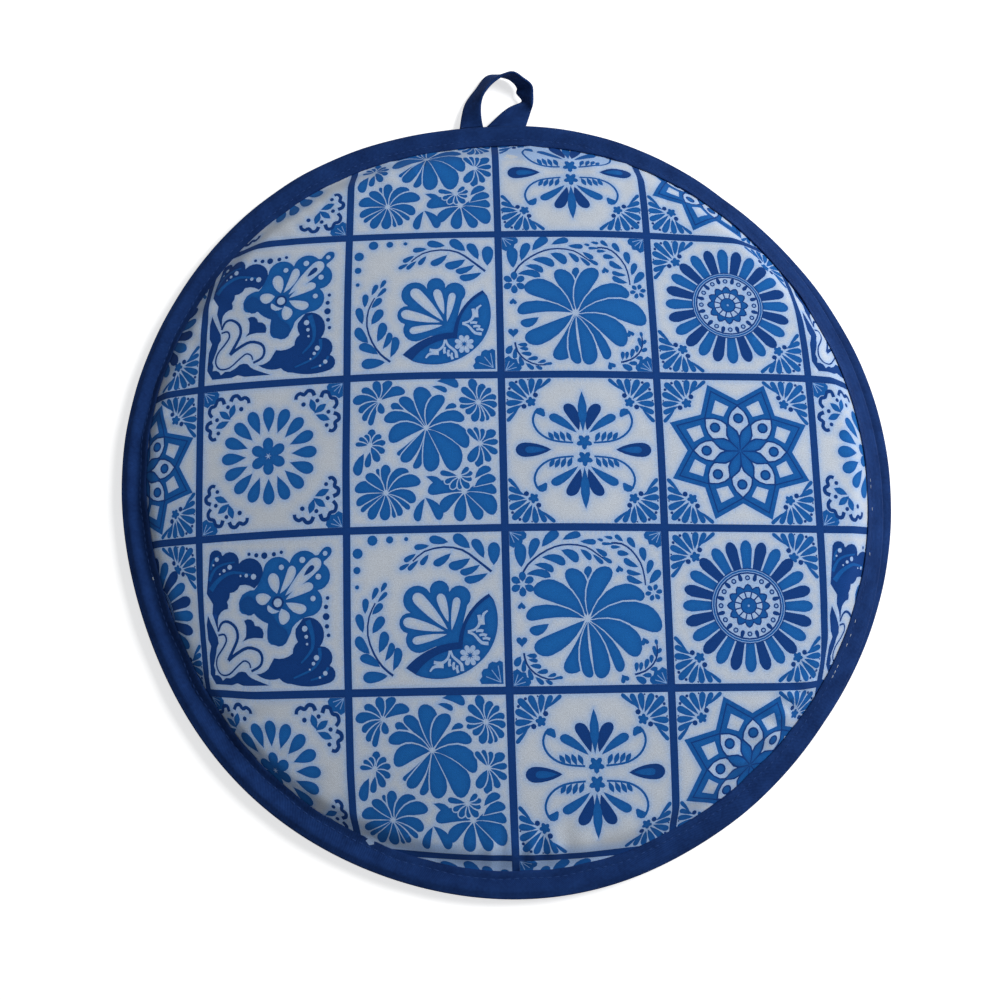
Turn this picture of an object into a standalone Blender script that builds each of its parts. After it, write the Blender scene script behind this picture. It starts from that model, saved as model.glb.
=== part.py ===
"""Round padded cloth pouch that keeps tortillas warm at the table.

Two padded discs lie one on the other. Each is a printed cotton cover, a layer of wadding and a
plain lining. A folded tape binds the edges of both discs together round the left, the top and
the bottom. On the right each disc has a tape of its own, so the pouch opens there like a pocket.
A tape loop for hanging stands out of the seam at the top.

The pouch lies on its back disc, as it comes to rest: +Z is up, +Y points to the loop and the
mouth looks towards +X. The origin is on the table, under the centre of the discs. Metres.
"""

from math import cos, pi, radians, sin, sqrt

import bmesh
import bpy
from mathutils import Vector

# The discs
POUCH_DIAMETER = 0.308
COVER_THICKNESS = 0.0005
LINING_THICKNESS = 0.0004
WADDING_LOFT = 0.004
WADDING_PRESSED = 0.0006  # what the seam leaves of the wadding under the tape
SHOULDER_WIDTH = 0.008  # the wadding is back at its full loft this far inside the tape
POCKET_HEIGHT = 0.012  # free height between the linings, in the middle
DOME_FULLNESS = 0.7  # below 1 the front disc rises fast at the seam and is flatter in the middle

# The mouth, on the right
MOUTH_FROM = radians(-52.5)
MOUTH_TO = radians(82.5)
MOUTH_LIFT = 0.0085  # how much further the front edge stands off halfway along the mouth
MOUTH_PULL_IN = 0.0045  # the front edge, lifted, reaches this much less far out
MOUTH_EASE = radians(15)  # the closed seam thins to its own height over this much arc

# The folded tapes
TAPE_THICKNESS = 0.0006
BINDING_FACE = 0.0095  # width of tape on each face of the edge
BINDING_NOSE = 0.0012  # rounding at the outer edge
LOOP_TAPE_WIDTH = 0.0094
LOOP_TAPE_THICKNESS = 0.0012
LOOP_EDGE_SHARE = 0.7  # the folded tape is this much thinner at its edges
LOOP_CENTRE = -0.0061  # across, from the middle of the disc
LOOP_REACH = 0.0250  # how far the loop stands out past the edge
LOOP_HALF_SPAN = 0.0139  # from the loop's centre line to the outer edge of a leg

# Clearances between layers that touch on the real pouch
LAYER_GAP = 0.0003
LIP_CLEARANCE = 0.0005  # from the tape's inner lip to where the wadding begins to rise
END_GAP = 0.0005  # between the ends of two tapes, and at the feet of the loop

# Facets
CLOSED_STEPS = 30
MOUTH_STEPS = 18
INNER_RINGS = (0.28, 0.52, 0.72, 0.85)
SHOULDER_RINGS = (1.0, 0.5, 0.0)
NOSE_STEPS = 3
LOOP_STEPS = 3

# Worked out from the sizes above
OUTER_RADIUS = POUCH_DIAMETER / 2
CUT_RADIUS = OUTER_RADIUS - TAPE_THICKNESS - LAYER_GAP
LIP_RADIUS = OUTER_RADIUS - BINDING_FACE
FLAT_RADIUS = LIP_RADIUS - LIP_CLEARANCE
TAPE_STANDOFF = TAPE_THICKNESS + LAYER_GAP
SEAM_FLOOR = (
    TAPE_STANDOFF + COVER_THICKNESS + LAYER_GAP + WADDING_PRESSED + LAYER_GAP + LINING_THICKNESS
)
POCKET_FLOOR = COVER_THICKNESS + LAYER_GAP + WADDING_LOFT + LAYER_GAP + LINING_THICKNESS
CORNER_LIFT = 2 * TAPE_STANDOFF


def eased(share):
    """0 to 1 with a level start and a level end."""
    share = min(max(share, 0.0), 1.0)
    return share * share * (3 - 2 * share)


def mouth_share(angle):
    """0 at one end of the mouth and 1 at the other, or None along the closed seam."""
    turned = (angle - MOUTH_FROM) % (2 * pi)
    width = MOUTH_TO - MOUTH_FROM
    return turned / width if turned <= width + 1e-9 else None


def mouth_swell(angle):
    """1 halfway along the mouth, 0 at its ends and along the closed seam."""
    share = mouth_share(angle)
    return 0.0 if share is None else max(sin(pi * share), 0.0)


def seam_lift(angle):
    """Extra distance between the two discs at their edges."""
    if mouth_share(angle) is not None:
        return CORNER_LIFT + MOUTH_LIFT * mouth_swell(angle)
    past_end = (angle - MOUTH_TO) % (2 * pi)
    before_start = (MOUTH_FROM - angle) % (2 * pi)
    return CORNER_LIFT * (1 - eased(min(past_end, before_start) / MOUTH_EASE))


def pulled_in(radius, angle):
    """Where a point of the front disc lies, once the lifted edge has drawn it in."""
    return radius * (1 - MOUTH_PULL_IN * mouth_swell(angle) ** 2 / OUTER_RADIUS)


def as_cut(radius, angle):
    return radius


def loft_share(radius):
    """0 where the tape presses the wadding flat, 1 where it has its full loft."""
    return eased((FLAT_RADIUS - radius) / SHOULDER_WIDTH)


def wadding_height(radius):
    return WADDING_PRESSED + (WADDING_LOFT - WADDING_PRESSED) * loft_share(radius)


def back_underside(radius, angle):
    """The back cover lies on the table, and the tape lifts it a little at the edge."""
    return TAPE_STANDOFF * (1 - loft_share(radius))


def front_edge_height(angle):
    return SEAM_FLOOR + LAYER_GAP + seam_lift(angle)


def front_underside(radius, angle):
    """The front lining is level under the tape, and from there it domes over the pocket."""
    edge = front_edge_height(angle)
    middle = POCKET_FLOOR + POCKET_HEIGHT
    inside = 1 - min(radius / FLAT_RADIUS, 1.0) ** 2
    return edge + (middle - edge) * inside**DOME_FULLNESS


def cover_height(radius):
    return COVER_THICKNESS


def lining_height(radius):
    return LINING_THICKNESS


def gap_height(radius):
    return LAYER_GAP


def surface_above(underside, below):
    return lambda radius, angle: underside(radius, angle) + sum(part(radius) for part in below)


def stack(underside, layers):
    """Lower and upper surface of each layer of a disc, counted up from its underside."""
    surfaces = []
    below = []
    for layer in layers:
        lower = surface_above(underside, list(below))
        below.append(layer)
        surfaces.append((lower, surface_above(underside, list(below))))
        below.append(gap_height)
    return surfaces


def arc_angles(start, end, steps):
    return [start + (end - start) * step / steps for step in range(steps + 1)]


def all_angles():
    """Once round, with a station at both ends of the mouth."""
    closed = arc_angles(MOUTH_TO, MOUTH_FROM + 2 * pi, CLOSED_STEPS)
    mouth = arc_angles(MOUTH_FROM, MOUTH_TO, MOUTH_STEPS)
    return closed[:-1] + mouth[:-1]


def ring_radii():
    first_shoulder = FLAT_RADIUS - SHOULDER_WIDTH
    inner = [first_shoulder * share for share in INNER_RINGS]
    shoulder = [FLAT_RADIUS - SHOULDER_WIDTH * share for share in SHOULDER_RINGS]
    return inner + shoulder + [CUT_RADIUS]


def at(radius, angle, height):
    return Vector((radius * cos(angle), radius * sin(angle), height))


def cloth_material(name, colour):
    material = bpy.data.materials.new(name)
    material.use_nodes = True
    shader = material.node_tree.nodes["Principled BSDF"]
    shader.inputs["Base Color"].default_value = (*colour, 1.0)
    shader.inputs["Roughness"].default_value = 0.9
    shader.inputs["Metallic"].default_value = 0.0
    material.diffuse_color = (*colour, 1.0)
    return material


def finished(name, mesh_data, material, collection):
    """Turns the working mesh into a named piece of the pouch."""
    bmesh.ops.recalc_face_normals(mesh_data, faces=mesh_data.faces)
    mesh = bpy.data.meshes.new(name)
    mesh_data.to_mesh(mesh)
    mesh_data.free()
    mesh.materials.append(material)
    mesh.shade_smooth()
    mesh.set_sharp_from_angle(angle=radians(40))
    piece = bpy.data.objects.new(name, mesh)
    collection.objects.link(piece)
    return piece


def disc_layer(name, surfaces, place, material, collection):
    """A cloth disc between a lower and an upper surface, on rings that all layers share."""
    work = bmesh.new()
    angles = all_angles()
    radii = ring_radii()
    count = len(angles)
    sheets = []
    for surface in surfaces:
        centre = work.verts.new((0.0, 0.0, surface(0.0, 0.0)))
        rings = [
            [work.verts.new(at(place(radius, angle), angle, surface(radius, angle))) for angle in angles]
            for radius in radii
        ]
        for i in range(count):
            after = (i + 1) % count
            work.faces.new((centre, rings[0][i], rings[0][after]))
            for inner, outer in zip(rings, rings[1:]):
                work.faces.new((inner[i], outer[i], outer[after]))
                work.faces.new((inner[i], outer[after], inner[after]))
        sheets.append(rings[-1])
    lower, upper = sheets
    for i in range(count):
        after = (i + 1) % count
        work.faces.new((lower[i], lower[after], upper[after], upper[i]))
    return finished(name, work, material, collection)


def lofted(name, sections, material, collection):
    """A closed solid through like sections, with a cap at each end."""
    work = bmesh.new()
    rows = [[work.verts.new(point) for point in section] for section in sections]
    count = len(rows[0])
    for row, following in zip(rows, rows[1:]):
        for i in range(count):
            after = (i + 1) % count
            work.faces.new((row[i], row[after], following[after], following[i]))
    work.faces.new(rows[0])
    work.faces.new(rows[-1])
    return finished(name, work, material, collection)


def nose(low, high):
    """Outer edge of a folded tape, from its lower face round to its upper face."""
    rounding = min(BINDING_NOSE, (high - low) / 2)
    turns = [pi / 2 * step / NOSE_STEPS for step in range(NOSE_STEPS + 1)]
    centre = OUTER_RADIUS - rounding
    lower = [(centre + rounding * sin(turn), low + rounding * (1 - cos(turn))) for turn in turns]
    upper = [(radius, high + low - height) for radius, height in reversed(lower)]
    return lower + upper


def binding(name, bottom, top, place, angles, material, collection):
    """Tape folded over the edge from bottom to top, along these angles."""
    sections = []
    for angle in angles:
        under = bottom(angle) - LAYER_GAP
        over = top(angle) + LAYER_GAP
        profile = [(LIP_RADIUS, under - TAPE_THICKNESS)]
        profile += nose(under - TAPE_THICKNESS, over + TAPE_THICKNESS)
        profile += [(LIP_RADIUS, over + TAPE_THICKNESS), (LIP_RADIUS, over)]
        fold = OUTER_RADIUS - TAPE_THICKNESS
        profile += [(fold, over), (fold, under), (LIP_RADIUS, under)]
        sections.append([at(place(radius, angle), angle, height) for radius, height in profile])
    return lofted(name, sections, material, collection)


def rim_height(surface):
    return lambda angle: surface(CUT_RADIUS, angle)


def seam_distance(across):
    """How far up the page the outer edge lies at this distance across, and a gap more."""
    reach = OUTER_RADIUS + END_GAP
    return sqrt(reach * reach - across * across)


def loop_stations():
    """Low and high edge of the loop's tape, from its left foot over the top to its right foot.

    Shares of the loop's half span and reach place the low edge. The tape crosses from there to
    its high edge along a heading and a slope in degrees. It lies flat in the seam at both feet,
    stands on edge over the top and turns over on the right.
    """
    seam_middle = (TAPE_STANDOFF + front_edge_height(pi / 2) + SEAM_FLOOR) / 2
    foot = None
    stations = (
        (-1.0, foot, seam_middle, 0, 0, 1.05),
        (-0.95, 0.16, seam_middle - 0.0011, -11, 25, 1.0),
        (-0.83, 0.43, 0.0016, -23, 40, 1.0),
        (-0.54, 0.68, 0.0014, -48, 49, 1.0),
        (-0.16, 0.95, 0.0014, -60, 45, 1.0),
        (0.39, 0.92, 0.0014, -45, 70, 1.0),
        (0.63, 0.83, 0.0016, -32, 59, 1.0),
        (0.74, 0.72, 0.0018, -21, 47, 1.0),
        (0.72, 0.62, 0.0020, -26, 36, 1.0),
        (0.88, 0.47, 0.0020, -46, 43, 0.9),
        (0.40, 0.28, seam_middle + 0.0004, -14, 2, 1.1),
        (-0.19, foot, seam_middle, 0, 0, 1.75),
    )
    for across, out, height, heading, slope, widened in stations:
        low = Vector((LOOP_CENTRE + across * LOOP_HALF_SPAN, 0.0, height))
        reach = LOOP_TAPE_WIDTH * widened
        level = reach * cos(radians(slope))
        rise = reach * sin(radians(slope))
        high = low + Vector((level * cos(radians(heading)), level * sin(radians(heading)), rise))
        if out is foot:
            low.y = seam_distance(low.x)
            high.y = seam_distance(high.x)
        else:
            low.y += OUTER_RADIUS + out * LOOP_REACH
            high.y += OUTER_RADIUS + out * LOOP_REACH
        yield low, high


def smooth_through(points, steps):
    """Catmull-Rom curve through the points."""
    padded = [2 * points[0] - points[1], *points, 2 * points[-1] - points[-2]]
    curve = []
    for before, start, end, after in zip(padded, padded[1:], padded[2:], padded[3:]):
        for step in range(steps):
            t = step / steps
            curve.append(
                0.5
                * (
                    2 * start
                    + (end - before) * t
                    + (2 * before - 5 * start + 4 * end - after) * t * t
                    + (3 * start - before - 3 * end + after) * t**3
                )
            )
    return curve + [points[-1]]


def hanging_loop(material, collection):
    """A folded tape, thickest along its middle, that leaves the seam and comes back to it."""
    edges = list(loop_stations())
    low_edge = smooth_through([low for low, _ in edges], LOOP_STEPS)
    high_edge = smooth_through([high for _, high in edges], LOOP_STEPS)
    sections = []
    for i, (low, high) in enumerate(zip(low_edge, high_edge)):
        following = min(i + 1, len(low_edge) - 1)
        before = max(i - 1, 0)
        along = (low_edge[following] + high_edge[following]) - (low_edge[before] + high_edge[before])
        if i in (0, len(low_edge) - 1):
            along = Vector((0.0, 1.0 if i == 0 else -1.0, 0.0))
        face = (high - low).cross(along).normalized() * LOOP_TAPE_THICKNESS / 2
        middle = (low + high) / 2
        edge = face * LOOP_EDGE_SHARE
        sections.append([low + edge, middle + face, high + edge, high - edge, middle - face, low - edge])
    return lofted("hanging_loop", sections, material, collection)


def build():
    for leftover in list(bpy.data.objects):
        bpy.data.objects.remove(leftover, do_unlink=True)
    pouch = bpy.data.collections.new("tortilla_warmer_pouch")
    bpy.context.scene.collection.children.link(pouch)

    printed = cloth_material("printed_cotton", (0.30, 0.42, 0.62))
    plain = cloth_material("plain_cotton", (0.72, 0.73, 0.74))
    padding = cloth_material("cotton_wadding", (0.85, 0.84, 0.80))
    navy = cloth_material("navy_tape", (0.012, 0.035, 0.135))

    back = stack(back_underside, (cover_height, wadding_height, lining_height))
    front = stack(front_underside, (lining_height, wadding_height, cover_height))
    back_names = ("back_cover", "back_wadding", "back_lining")
    front_names = ("front_lining", "front_wadding", "front_cover")
    for name, surfaces, material in zip(back_names, back, (printed, padding, plain)):
        disc_layer(name, surfaces, as_cut, material, pouch)
    for name, surfaces, material in zip(front_names, front, (plain, padding, printed)):
        disc_layer(name, surfaces, pulled_in, material, pouch)

    back_bottom = rim_height(back[0][0])
    back_top = rim_height(back[-1][1])
    front_bottom = rim_height(front[0][0])
    front_top = rim_height(front[-1][1])
    trim = END_GAP / OUTER_RADIUS / 2
    closed = arc_angles(MOUTH_TO, MOUTH_FROM + 2 * pi, CLOSED_STEPS)
    mouth = arc_angles(MOUTH_FROM, MOUTH_TO, MOUTH_STEPS)
    closed_cut = [closed[0] + trim, *closed[1:-1], closed[-1] - trim]
    mouth_cut = [mouth[0] + trim, *mouth[1:-1], mouth[-1] - trim]
    binding("edge_binding", back_bottom, front_top, as_cut, closed_cut, navy, pouch)
    binding("back_mouth_binding", back_bottom, back_top, as_cut, mouth_cut, navy, pouch)
    binding("front_mouth_binding", front_bottom, front_top, pulled_in, mouth_cut, navy, pouch)
    hanging_loop(navy, pouch)


build()
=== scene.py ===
from math import atan, atan2, cos, hypot, pi, radians, sin, sqrt

import bpy
import numpy as np
from mathutils import Matrix, Vector
from mathutils.geometry import delaunay_2d_cdt
from mathutils.kdtree import KDTree


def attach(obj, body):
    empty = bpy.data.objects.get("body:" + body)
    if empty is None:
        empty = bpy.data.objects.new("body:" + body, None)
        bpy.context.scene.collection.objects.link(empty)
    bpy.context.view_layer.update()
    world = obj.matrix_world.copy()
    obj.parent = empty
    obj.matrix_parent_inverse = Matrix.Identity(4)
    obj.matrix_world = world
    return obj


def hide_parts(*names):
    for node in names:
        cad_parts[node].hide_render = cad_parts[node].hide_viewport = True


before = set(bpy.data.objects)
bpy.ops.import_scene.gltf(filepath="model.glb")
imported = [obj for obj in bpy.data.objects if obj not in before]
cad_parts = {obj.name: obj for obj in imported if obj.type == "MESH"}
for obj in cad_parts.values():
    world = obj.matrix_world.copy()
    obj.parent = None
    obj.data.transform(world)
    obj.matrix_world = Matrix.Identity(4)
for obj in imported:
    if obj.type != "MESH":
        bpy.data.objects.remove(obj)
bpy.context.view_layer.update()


# The back disc's printed cover. A round of cotton canvas with a blue and white tile print, which
# lies face down on the table. It is cut to the same pattern as the front cover and its edge is
# sewn into the tape.
OUTER_RADIUS = 0.154
TAPE_THICKNESS = 0.0006
LAYER_GAP = 0.0003
TAPE_FACE = 0.0095
LIP_CLEARANCE = 0.0005
COVER_THICKNESS = 0.0005
WADDING_PRESSED = 0.0006
WADDING_LOFT = 0.004
SHOULDER_WIDTH = 0.008
TAPE_STANDOFF = TAPE_THICKNESS + LAYER_GAP
CUT_RADIUS = OUTER_RADIUS - TAPE_STANDOFF
LIP_RADIUS = OUTER_RADIUS - TAPE_FACE
FLAT_RADIUS = LIP_RADIUS - LIP_CLEARANCE
PATTERN_RADIUS = 0.1556
WOBBLE = (  # waves round the outline, with how far each reaches along its cosine and its sine
    (0, -0.00072, 0.0), (1, 0.00039, -0.00075), (2, -0.00132, -0.00087), (3, 0.00069, 0.00117),
    (4, 0.00014, -0.00016), (5, 0.00026, -0.00011), (6, 0.00017, -0.00007), (7, -0.00026, 0.00014))
WIDE_HEM_AT = radians(208)
WIDE_HEM_SPAN = radians(36)
WIDE_HEM_BY = 0.0028
WIDE_HEM_FROM = 0.124

MID, DEEP, GRID, PALE, SHADED, CLOTH = 1, 2, 3, 4, 5, 0  # the print's inks and the bare cloth
TILE = 0.0597
TILE_TURN = radians(1.27)
TILE_CORNER = (-0.00135, -0.02072)
GROUT = 0.0029
PULL_REACH = 0.15
PULLED = (  # powers of x and y, with how many millimetres the cloth is pulled along x and y
    (0, 0, -0.43, 0.74), (0, 1, -0.11, 0.96), (0, 2, 0.87, -0.97), (0, 3, -0.98, -0.49),
    (1, 0, 1.91, -1.32), (1, 1, -0.94, -0.73), (1, 2, -2.52, -0.19), (2, 0, 2.18, -3.48),
    (2, 1, -0.46, -1.00), (3, 0, -2.62, 1.43))
TILES_OUT = 3
LINE_REACH = 600
LINE_STEP = 20
PRINT_STEP = 0.0021
RIM_STEPS = 300
RIM_CLEARANCE = 0.0012
PLAIN_STEP = 0.005
PLAIN_MIDDLE_INSET = 0.002
PLAIN_RINGS_FROM = 0.122
PLAIN_RINGS_STEP = 0.0014
PLAIN_RIM_INSET = 0.001
PLAIN_TURNS = 480
ROW_SHARE = 0.866
TOUCHING = 1e-7
INK_SOAKS = 0.0012


def eased(share):
    share = np.clip(share, 0.0, 1.0)
    return share * share * (3 - 2 * share)


def loft_share(radius):
    return eased((FLAT_RADIUS - radius) / SHOULDER_WIDTH)


def lofted(share):
    return WADDING_PRESSED + (WADDING_LOFT - WADDING_PRESSED) * share


def wadding_height(radius, angle):
    return lofted(loft_share(radius)) + 0 * angle


def swelling(angle, middle, span):
    """1 at the middle angle, and less the further from it."""
    turn = np.mod(angle - middle + pi, 2 * pi) - pi
    return np.exp(-(turn / span) ** 2)


def wide_hem(radius, angle):
    """How much further in the tape's lip lies where it was sewn with a wider fold."""
    inside = eased((radius - WIDE_HEM_FROM) / (LIP_RADIUS - WIDE_HEM_FROM))
    outside = (OUTER_RADIUS - radius) / TAPE_FACE
    share = np.where(radius > LIP_RADIUS, outside, inside)
    return WIDE_HEM_BY * swelling(angle, WIDE_HEM_AT, WIDE_HEM_SPAN) * share


def hand_cut(radius, angle):
    """The sewn round isn't a true circle, and its error fades towards the middle."""
    error = sum(c * np.cos(n * angle) + s * np.sin(n * angle) for n, c, s in WOBBLE)
    return radius + error * (radius / OUTER_RADIUS) ** 3 - wide_hem(radius, angle)


def points_at(radius, angle, height, place=hand_cut):
    radius, angle, height = np.broadcast_arrays(radius, angle, height)
    reach = place(radius, angle)
    return np.stack([reach * np.cos(angle), reach * np.sin(angle), height], axis=-1)


def back_underside(radius, angle):
    return TAPE_STANDOFF * (1 - loft_share(radius)) + 0 * angle


def round_a_line(x0, y0, x1, y1, bend, stations):
    """Closed line from one end to the other and back, with that half width at each station."""
    length = hypot(x1 - x0, y1 - y0)
    along = (x1 - x0) / length, (y1 - y0) / length
    left, right = [], []
    for t, half in stations:
        bow = 4 * t * (1 - t) * bend / 100 * length
        for side, row in ((1, left), (-1, right)):
            across = bow + side * half
            row.append((x0 + t * length * along[0] - across * along[1],
                        y0 + t * length * along[1] + across * along[0]))
    return [(x0, y0), *left, (x1, y1), *right[::-1]]


def petal(ink, x0, y0, x1, y1, width, bend=0.0, taper=0.85, veined=False):
    """Drop from a point to a round end. Widths are half widths, in hundredths of half a tile."""
    length = hypot(x1 - x0, y1 - y0)
    round_from = max(1 - 1.25 * width / length, 0.5)
    shank = (0.14, 0.32, 0.55, 0.78, 1.0) if length > 30 else (0.3, 0.65, 1.0)
    if length <= 14:
        shank = (0.5, 1.0)
    stations = [(round_from * t, width * sin(pi / 2 * t**taper)) for t in shank]
    for degrees in (22, 45, 68) if width > 6 else (30, 60) if width > 3 else (45,):
        turn = radians(degrees)
        stations.append((round_from + (1 - round_from) * sin(turn), width * cos(turn)))
    points = round_a_line(x0, y0, x1, y1, bend, stations)
    if not veined:
        return [(ink, points)]
    dx, dy = 1.5 * ((x1 - x0) / length), 1.5 * ((y1 - y0) / length)
    vein = petal(CLOTH, x0 - dx, y0 - dy, x1 + dx, y1 + dy, width + 1.7, bend, taper)
    return [*vein, (ink, points)]


def petals(ink, *rows):
    return [shape for row in rows for shape in petal(ink, *row)]


def leaf(ink, x0, y0, x1, y1, width, bend=0.0):
    """Lens, pointed at both ends and fullest past its middle."""
    places = (0.2, 0.42, 0.64, 0.85) if hypot(x1 - x0, y1 - y0) > 14 else (0.25, 0.55, 0.82)
    stations = [(t, width * sin(pi * t**1.15)) for t in places]
    return [(ink, round_a_line(x0, y0, x1, y1, bend, stations))]


def dot(ink, x, y, radius):
    sides = 6 if radius < 2 else 8 if radius < 4 else 12 if radius < 9 else 28
    turns = [2 * pi * i / sides for i in range(sides)]
    return [(ink, [(x + radius * cos(t), y + radius * sin(t)) for t in turns])]


def dots(ink, *rows):
    return [shape for row in rows for shape in dot(ink, *row)]


def discs(x, y, *rows):
    """Round fields on one centre, the first of them underneath."""
    return [shape for ink, radius in rows for shape in dot(ink, x, y, radius)]


def lobed(ink, x, y, radius, lobes, depth, turn=90.0):
    """Small round flower cut as one shape, with that many round lobes."""
    points = []
    for i in range(lobes * 4):
        reach = radius * (1 - depth * (0.0, 0.35, 1.0, 0.35)[i % 4])
        angle = radians(turn) + 2 * pi * i / (lobes * 4)
        points.append((x + reach * cos(angle), y + reach * sin(angle)))
    return [(ink, points)]


def smooth_line(points, per_span):
    """A Catmull-Rom curve through the points."""
    padded = [points[0], *points, points[-1]]
    line = []
    for ends in zip(padded, padded[1:], padded[2:], padded[3:]):
        for t in [i / per_span for i in range(per_span)]:
            line.append(tuple(
                0.5 * (2 * q + (r - p) * t + (2 * p - 5 * q + 4 * r - s) * t * t
                       + (3 * q - p - 3 * r + s) * t**3) for p, q, r, s in zip(*ends)))
    return [*line, points[-1]]


def stroke(ink, points, width, end_width=None, per_span=3):
    """Brush line through the points, with its half width at each end."""
    line = smooth_line(points, per_span)
    end_width = width if end_width is None else end_width
    left, right = [], []
    for i, (x, y) in enumerate(line):
        before, after = line[max(i - 1, 0)], line[min(i + 1, len(line) - 1)]
        dx, dy = after[0] - before[0], after[1] - before[1]
        size = hypot(dx, dy)
        half = width + (end_width - width) * i / (len(line) - 1)
        left.append((x - half * dy / size, y + half * dx / size))
        right.append((x + half * dy / size, y - half * dx / size))
    return [(ink, left + right[::-1])]


def signed_area(points):
    return sum(a[0] * b[1] - b[0] * a[1] for a, b in zip(points, [*points[1:], points[0]])) / 2


def scalloped(ink, corners):
    """Closed shape whose edges bow outwards by that many hundredths of their chord."""
    outward = -1 if signed_area([c[:2] for c in corners]) > 0 else 1
    points = []
    for (x0, y0, bow), (x1, y1, _) in zip(corners, [*corners[1:], corners[0]]):
        points.append((x0, y0))
        if not bow:
            continue
        chord = hypot(x1 - x0, y1 - y0)
        half_sweep = 2 * atan(2 * abs(bow) / 100)
        radius = chord / (2 * sin(half_sweep))
        along = (x1 - x0) / chord, (y1 - y0) / chord
        side = outward if bow > 0 else -outward
        steps = max(2, round(chord * (1 + abs(bow) / 40) / 8))
        for i in range(1, steps):
            turn = half_sweep * (2 * i / steps - 1)
            lengthwise = chord / 2 + radius * sin(turn)
            out = side * (radius * cos(turn) - radius * cos(half_sweep))
            points.append((x0 + lengthwise * along[0] - out * along[1],
                           y0 + lengthwise * along[1] + out * along[0]))
    return [(ink, points)]


def turned(shapes, degrees, x=0.0, y=0.0):
    """The shapes, turned about the origin and then moved."""
    c, s = cos(radians(degrees)), sin(radians(degrees))
    return [(ink, [(x + c * px - s * py, y + s * px + c * py) for px, py in points])
            for ink, points in shapes]


def ringed(shapes, count, start=0.0, x=0.0, y=0.0):
    """The shapes, that many times round a point."""
    turns = [start + 360 / count * i for i in range(count)]
    return [shape for degrees in turns for shape in turned(shapes, degrees, x, y)]


def in_corners(shapes, corners=((1, 1), (-1, 1), (1, -1), (-1, -1))):
    """The shapes as drawn for the upper left corner, mirrored into the corners named."""
    return [(ink, [(x * sx, y * sy) for x, y in points])
            for sx, sy in corners for ink, points in shapes]


def flower(x, y, rows, gap=3.0):
    """Petals with fine white veins between them, round one point."""
    shapes = []
    for x1, y1, width, *more in rows:
        bend = more[0] if more else 0
        away = gap / hypot(x1 - x, y1 - y)
        start = more[1:] if len(more) > 1 else (x + (x1 - x) * away, y + (y1 - y) * away)
        shapes += petal(MID, *start, x1, y1, 1.06 * width, bend, veined=True)
    return shapes


def corner_fan():
    """Leaves that fan out of a small flower into the tile's corner."""
    shapes = lobed(MID, -63, 63, 7, 5, 0.35, 100)
    for x0, y0, x1, y1, width in (
            (-65, 71, -76, 94, 4.4), (-63, 73, -61, 95, 4.2), (-59, 74, -49, 94, 3.6),
            (-54, 79, -37, 94, 2.6)):
        shapes += petal(MID, x0, y0, x1, y1, width)
        shapes += petal(MID, -y0, -x0, -y1, -x1, width)
    shapes += petal(MID, -67, 67, -90, 90, 4.4)
    for x, y, radius in ((-81, 90, 2), (-66, 93, 1.2), (-57, 72, 3.4)):
        shapes += dot(DEEP, x, y, radius)
        shapes += dot(DEEP, -y, -x, radius)
    return shapes


def corner_rosette():
    shapes = scalloped(MID, [
        (-95, 95, 0), (-76, 95, 35), (-78, 84, 35), (-85, 78, 35), (-95, 77, 0)])
    for x, y in ((-80, 90), (-83, 84), (-89, 81)):
        shapes += stroke(PALE, [(-94, 94), (x, y)], 0.5, per_span=1)
    return shapes


def star_tile():
    """Eight-pointed star with eyes round a flower of eight leaves."""
    shapes = []
    for ink, point, notch in ((MID, 96, 68), (DEEP, 87.5, 62), (MID, 85, 60.2)):
        corners = [(point if i % 2 else notch, 22.5 * i) for i in range(16)]
        shapes.append((ink, [(2 + r * cos(radians(a)), r * sin(radians(a))) for r, a in corners]))
    shapes += ringed([(CLOTH, [(73, 0), (59, 12), (49.5, 0), (59, -12)])], 8, 22.5, 2)
    half = [(52, 7.5), (44, 11.5), (36.5, 12.5), (30, 8), (24, 3)]
    eye = []
    for ink, grow in ((DEEP, 2.2), (CLOTH, 0)):
        lid = [(59 + 1.5 * grow, 0), *((x, y + grow) for x, y in half), (20 - grow, 0)]
        eye.append((ink, lid + [(x, -y - grow) for x, y in half[::-1]]))
    shapes += ringed(eye + discs(43.5, 0, (DEEP, 7), (MID, 4.8)), 8, 0, 2)
    shapes += ringed(leaf(DEEP, 1, 0, 39, 0, 8.6) + leaf(MID, 2, 0, 37, 0, 6.2), 8, 22.5, 2)
    return shapes + in_corners(corner_fan())


def daisy_tile():
    """Ring of sixteen drops round a six-petalled flower."""
    shapes = ringed(petal(MID, 31, 0, 65, 0, 8, 0, 1.1), 16, 91, -3.5, 4)
    shapes += ringed(petal(MID, 1.5, 0, 25, 0, 7.3), 6, 92, -4, 3)
    corner = []
    for x0, y0, x1, y1 in ((-57, 56, -73, 68), (-58, 57, -52, 76), (-59, 54, -78, 46)):
        corner += leaf(MID, x0, y0, x1, y1, 4.6)
    corner += dots(DEEP, (-61, 73, 2.9), (-76, 57, 2.9), (-42.5, 69, 3.2), (-74, 39, 2.8))
    for line in (
            ((-57, 80), (-54, 86), (-48, 87), (-43, 82), (-38, 84), (-33, 81), (-32, 76)),
            ((-66, 77), (-69, 84), (-76, 83), (-79, 76), (-85, 74), (-87, 67), (-83, 61)),
            ((-83, 55), (-89, 52), (-90, 46), (-85, 42), (-86, 36), (-82, 31), (-77, 32))):
        corner += stroke(DEEP, line, 2.7, 2.3)
    corner += corner_rosette()
    return shapes + in_corners(corner)


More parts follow.
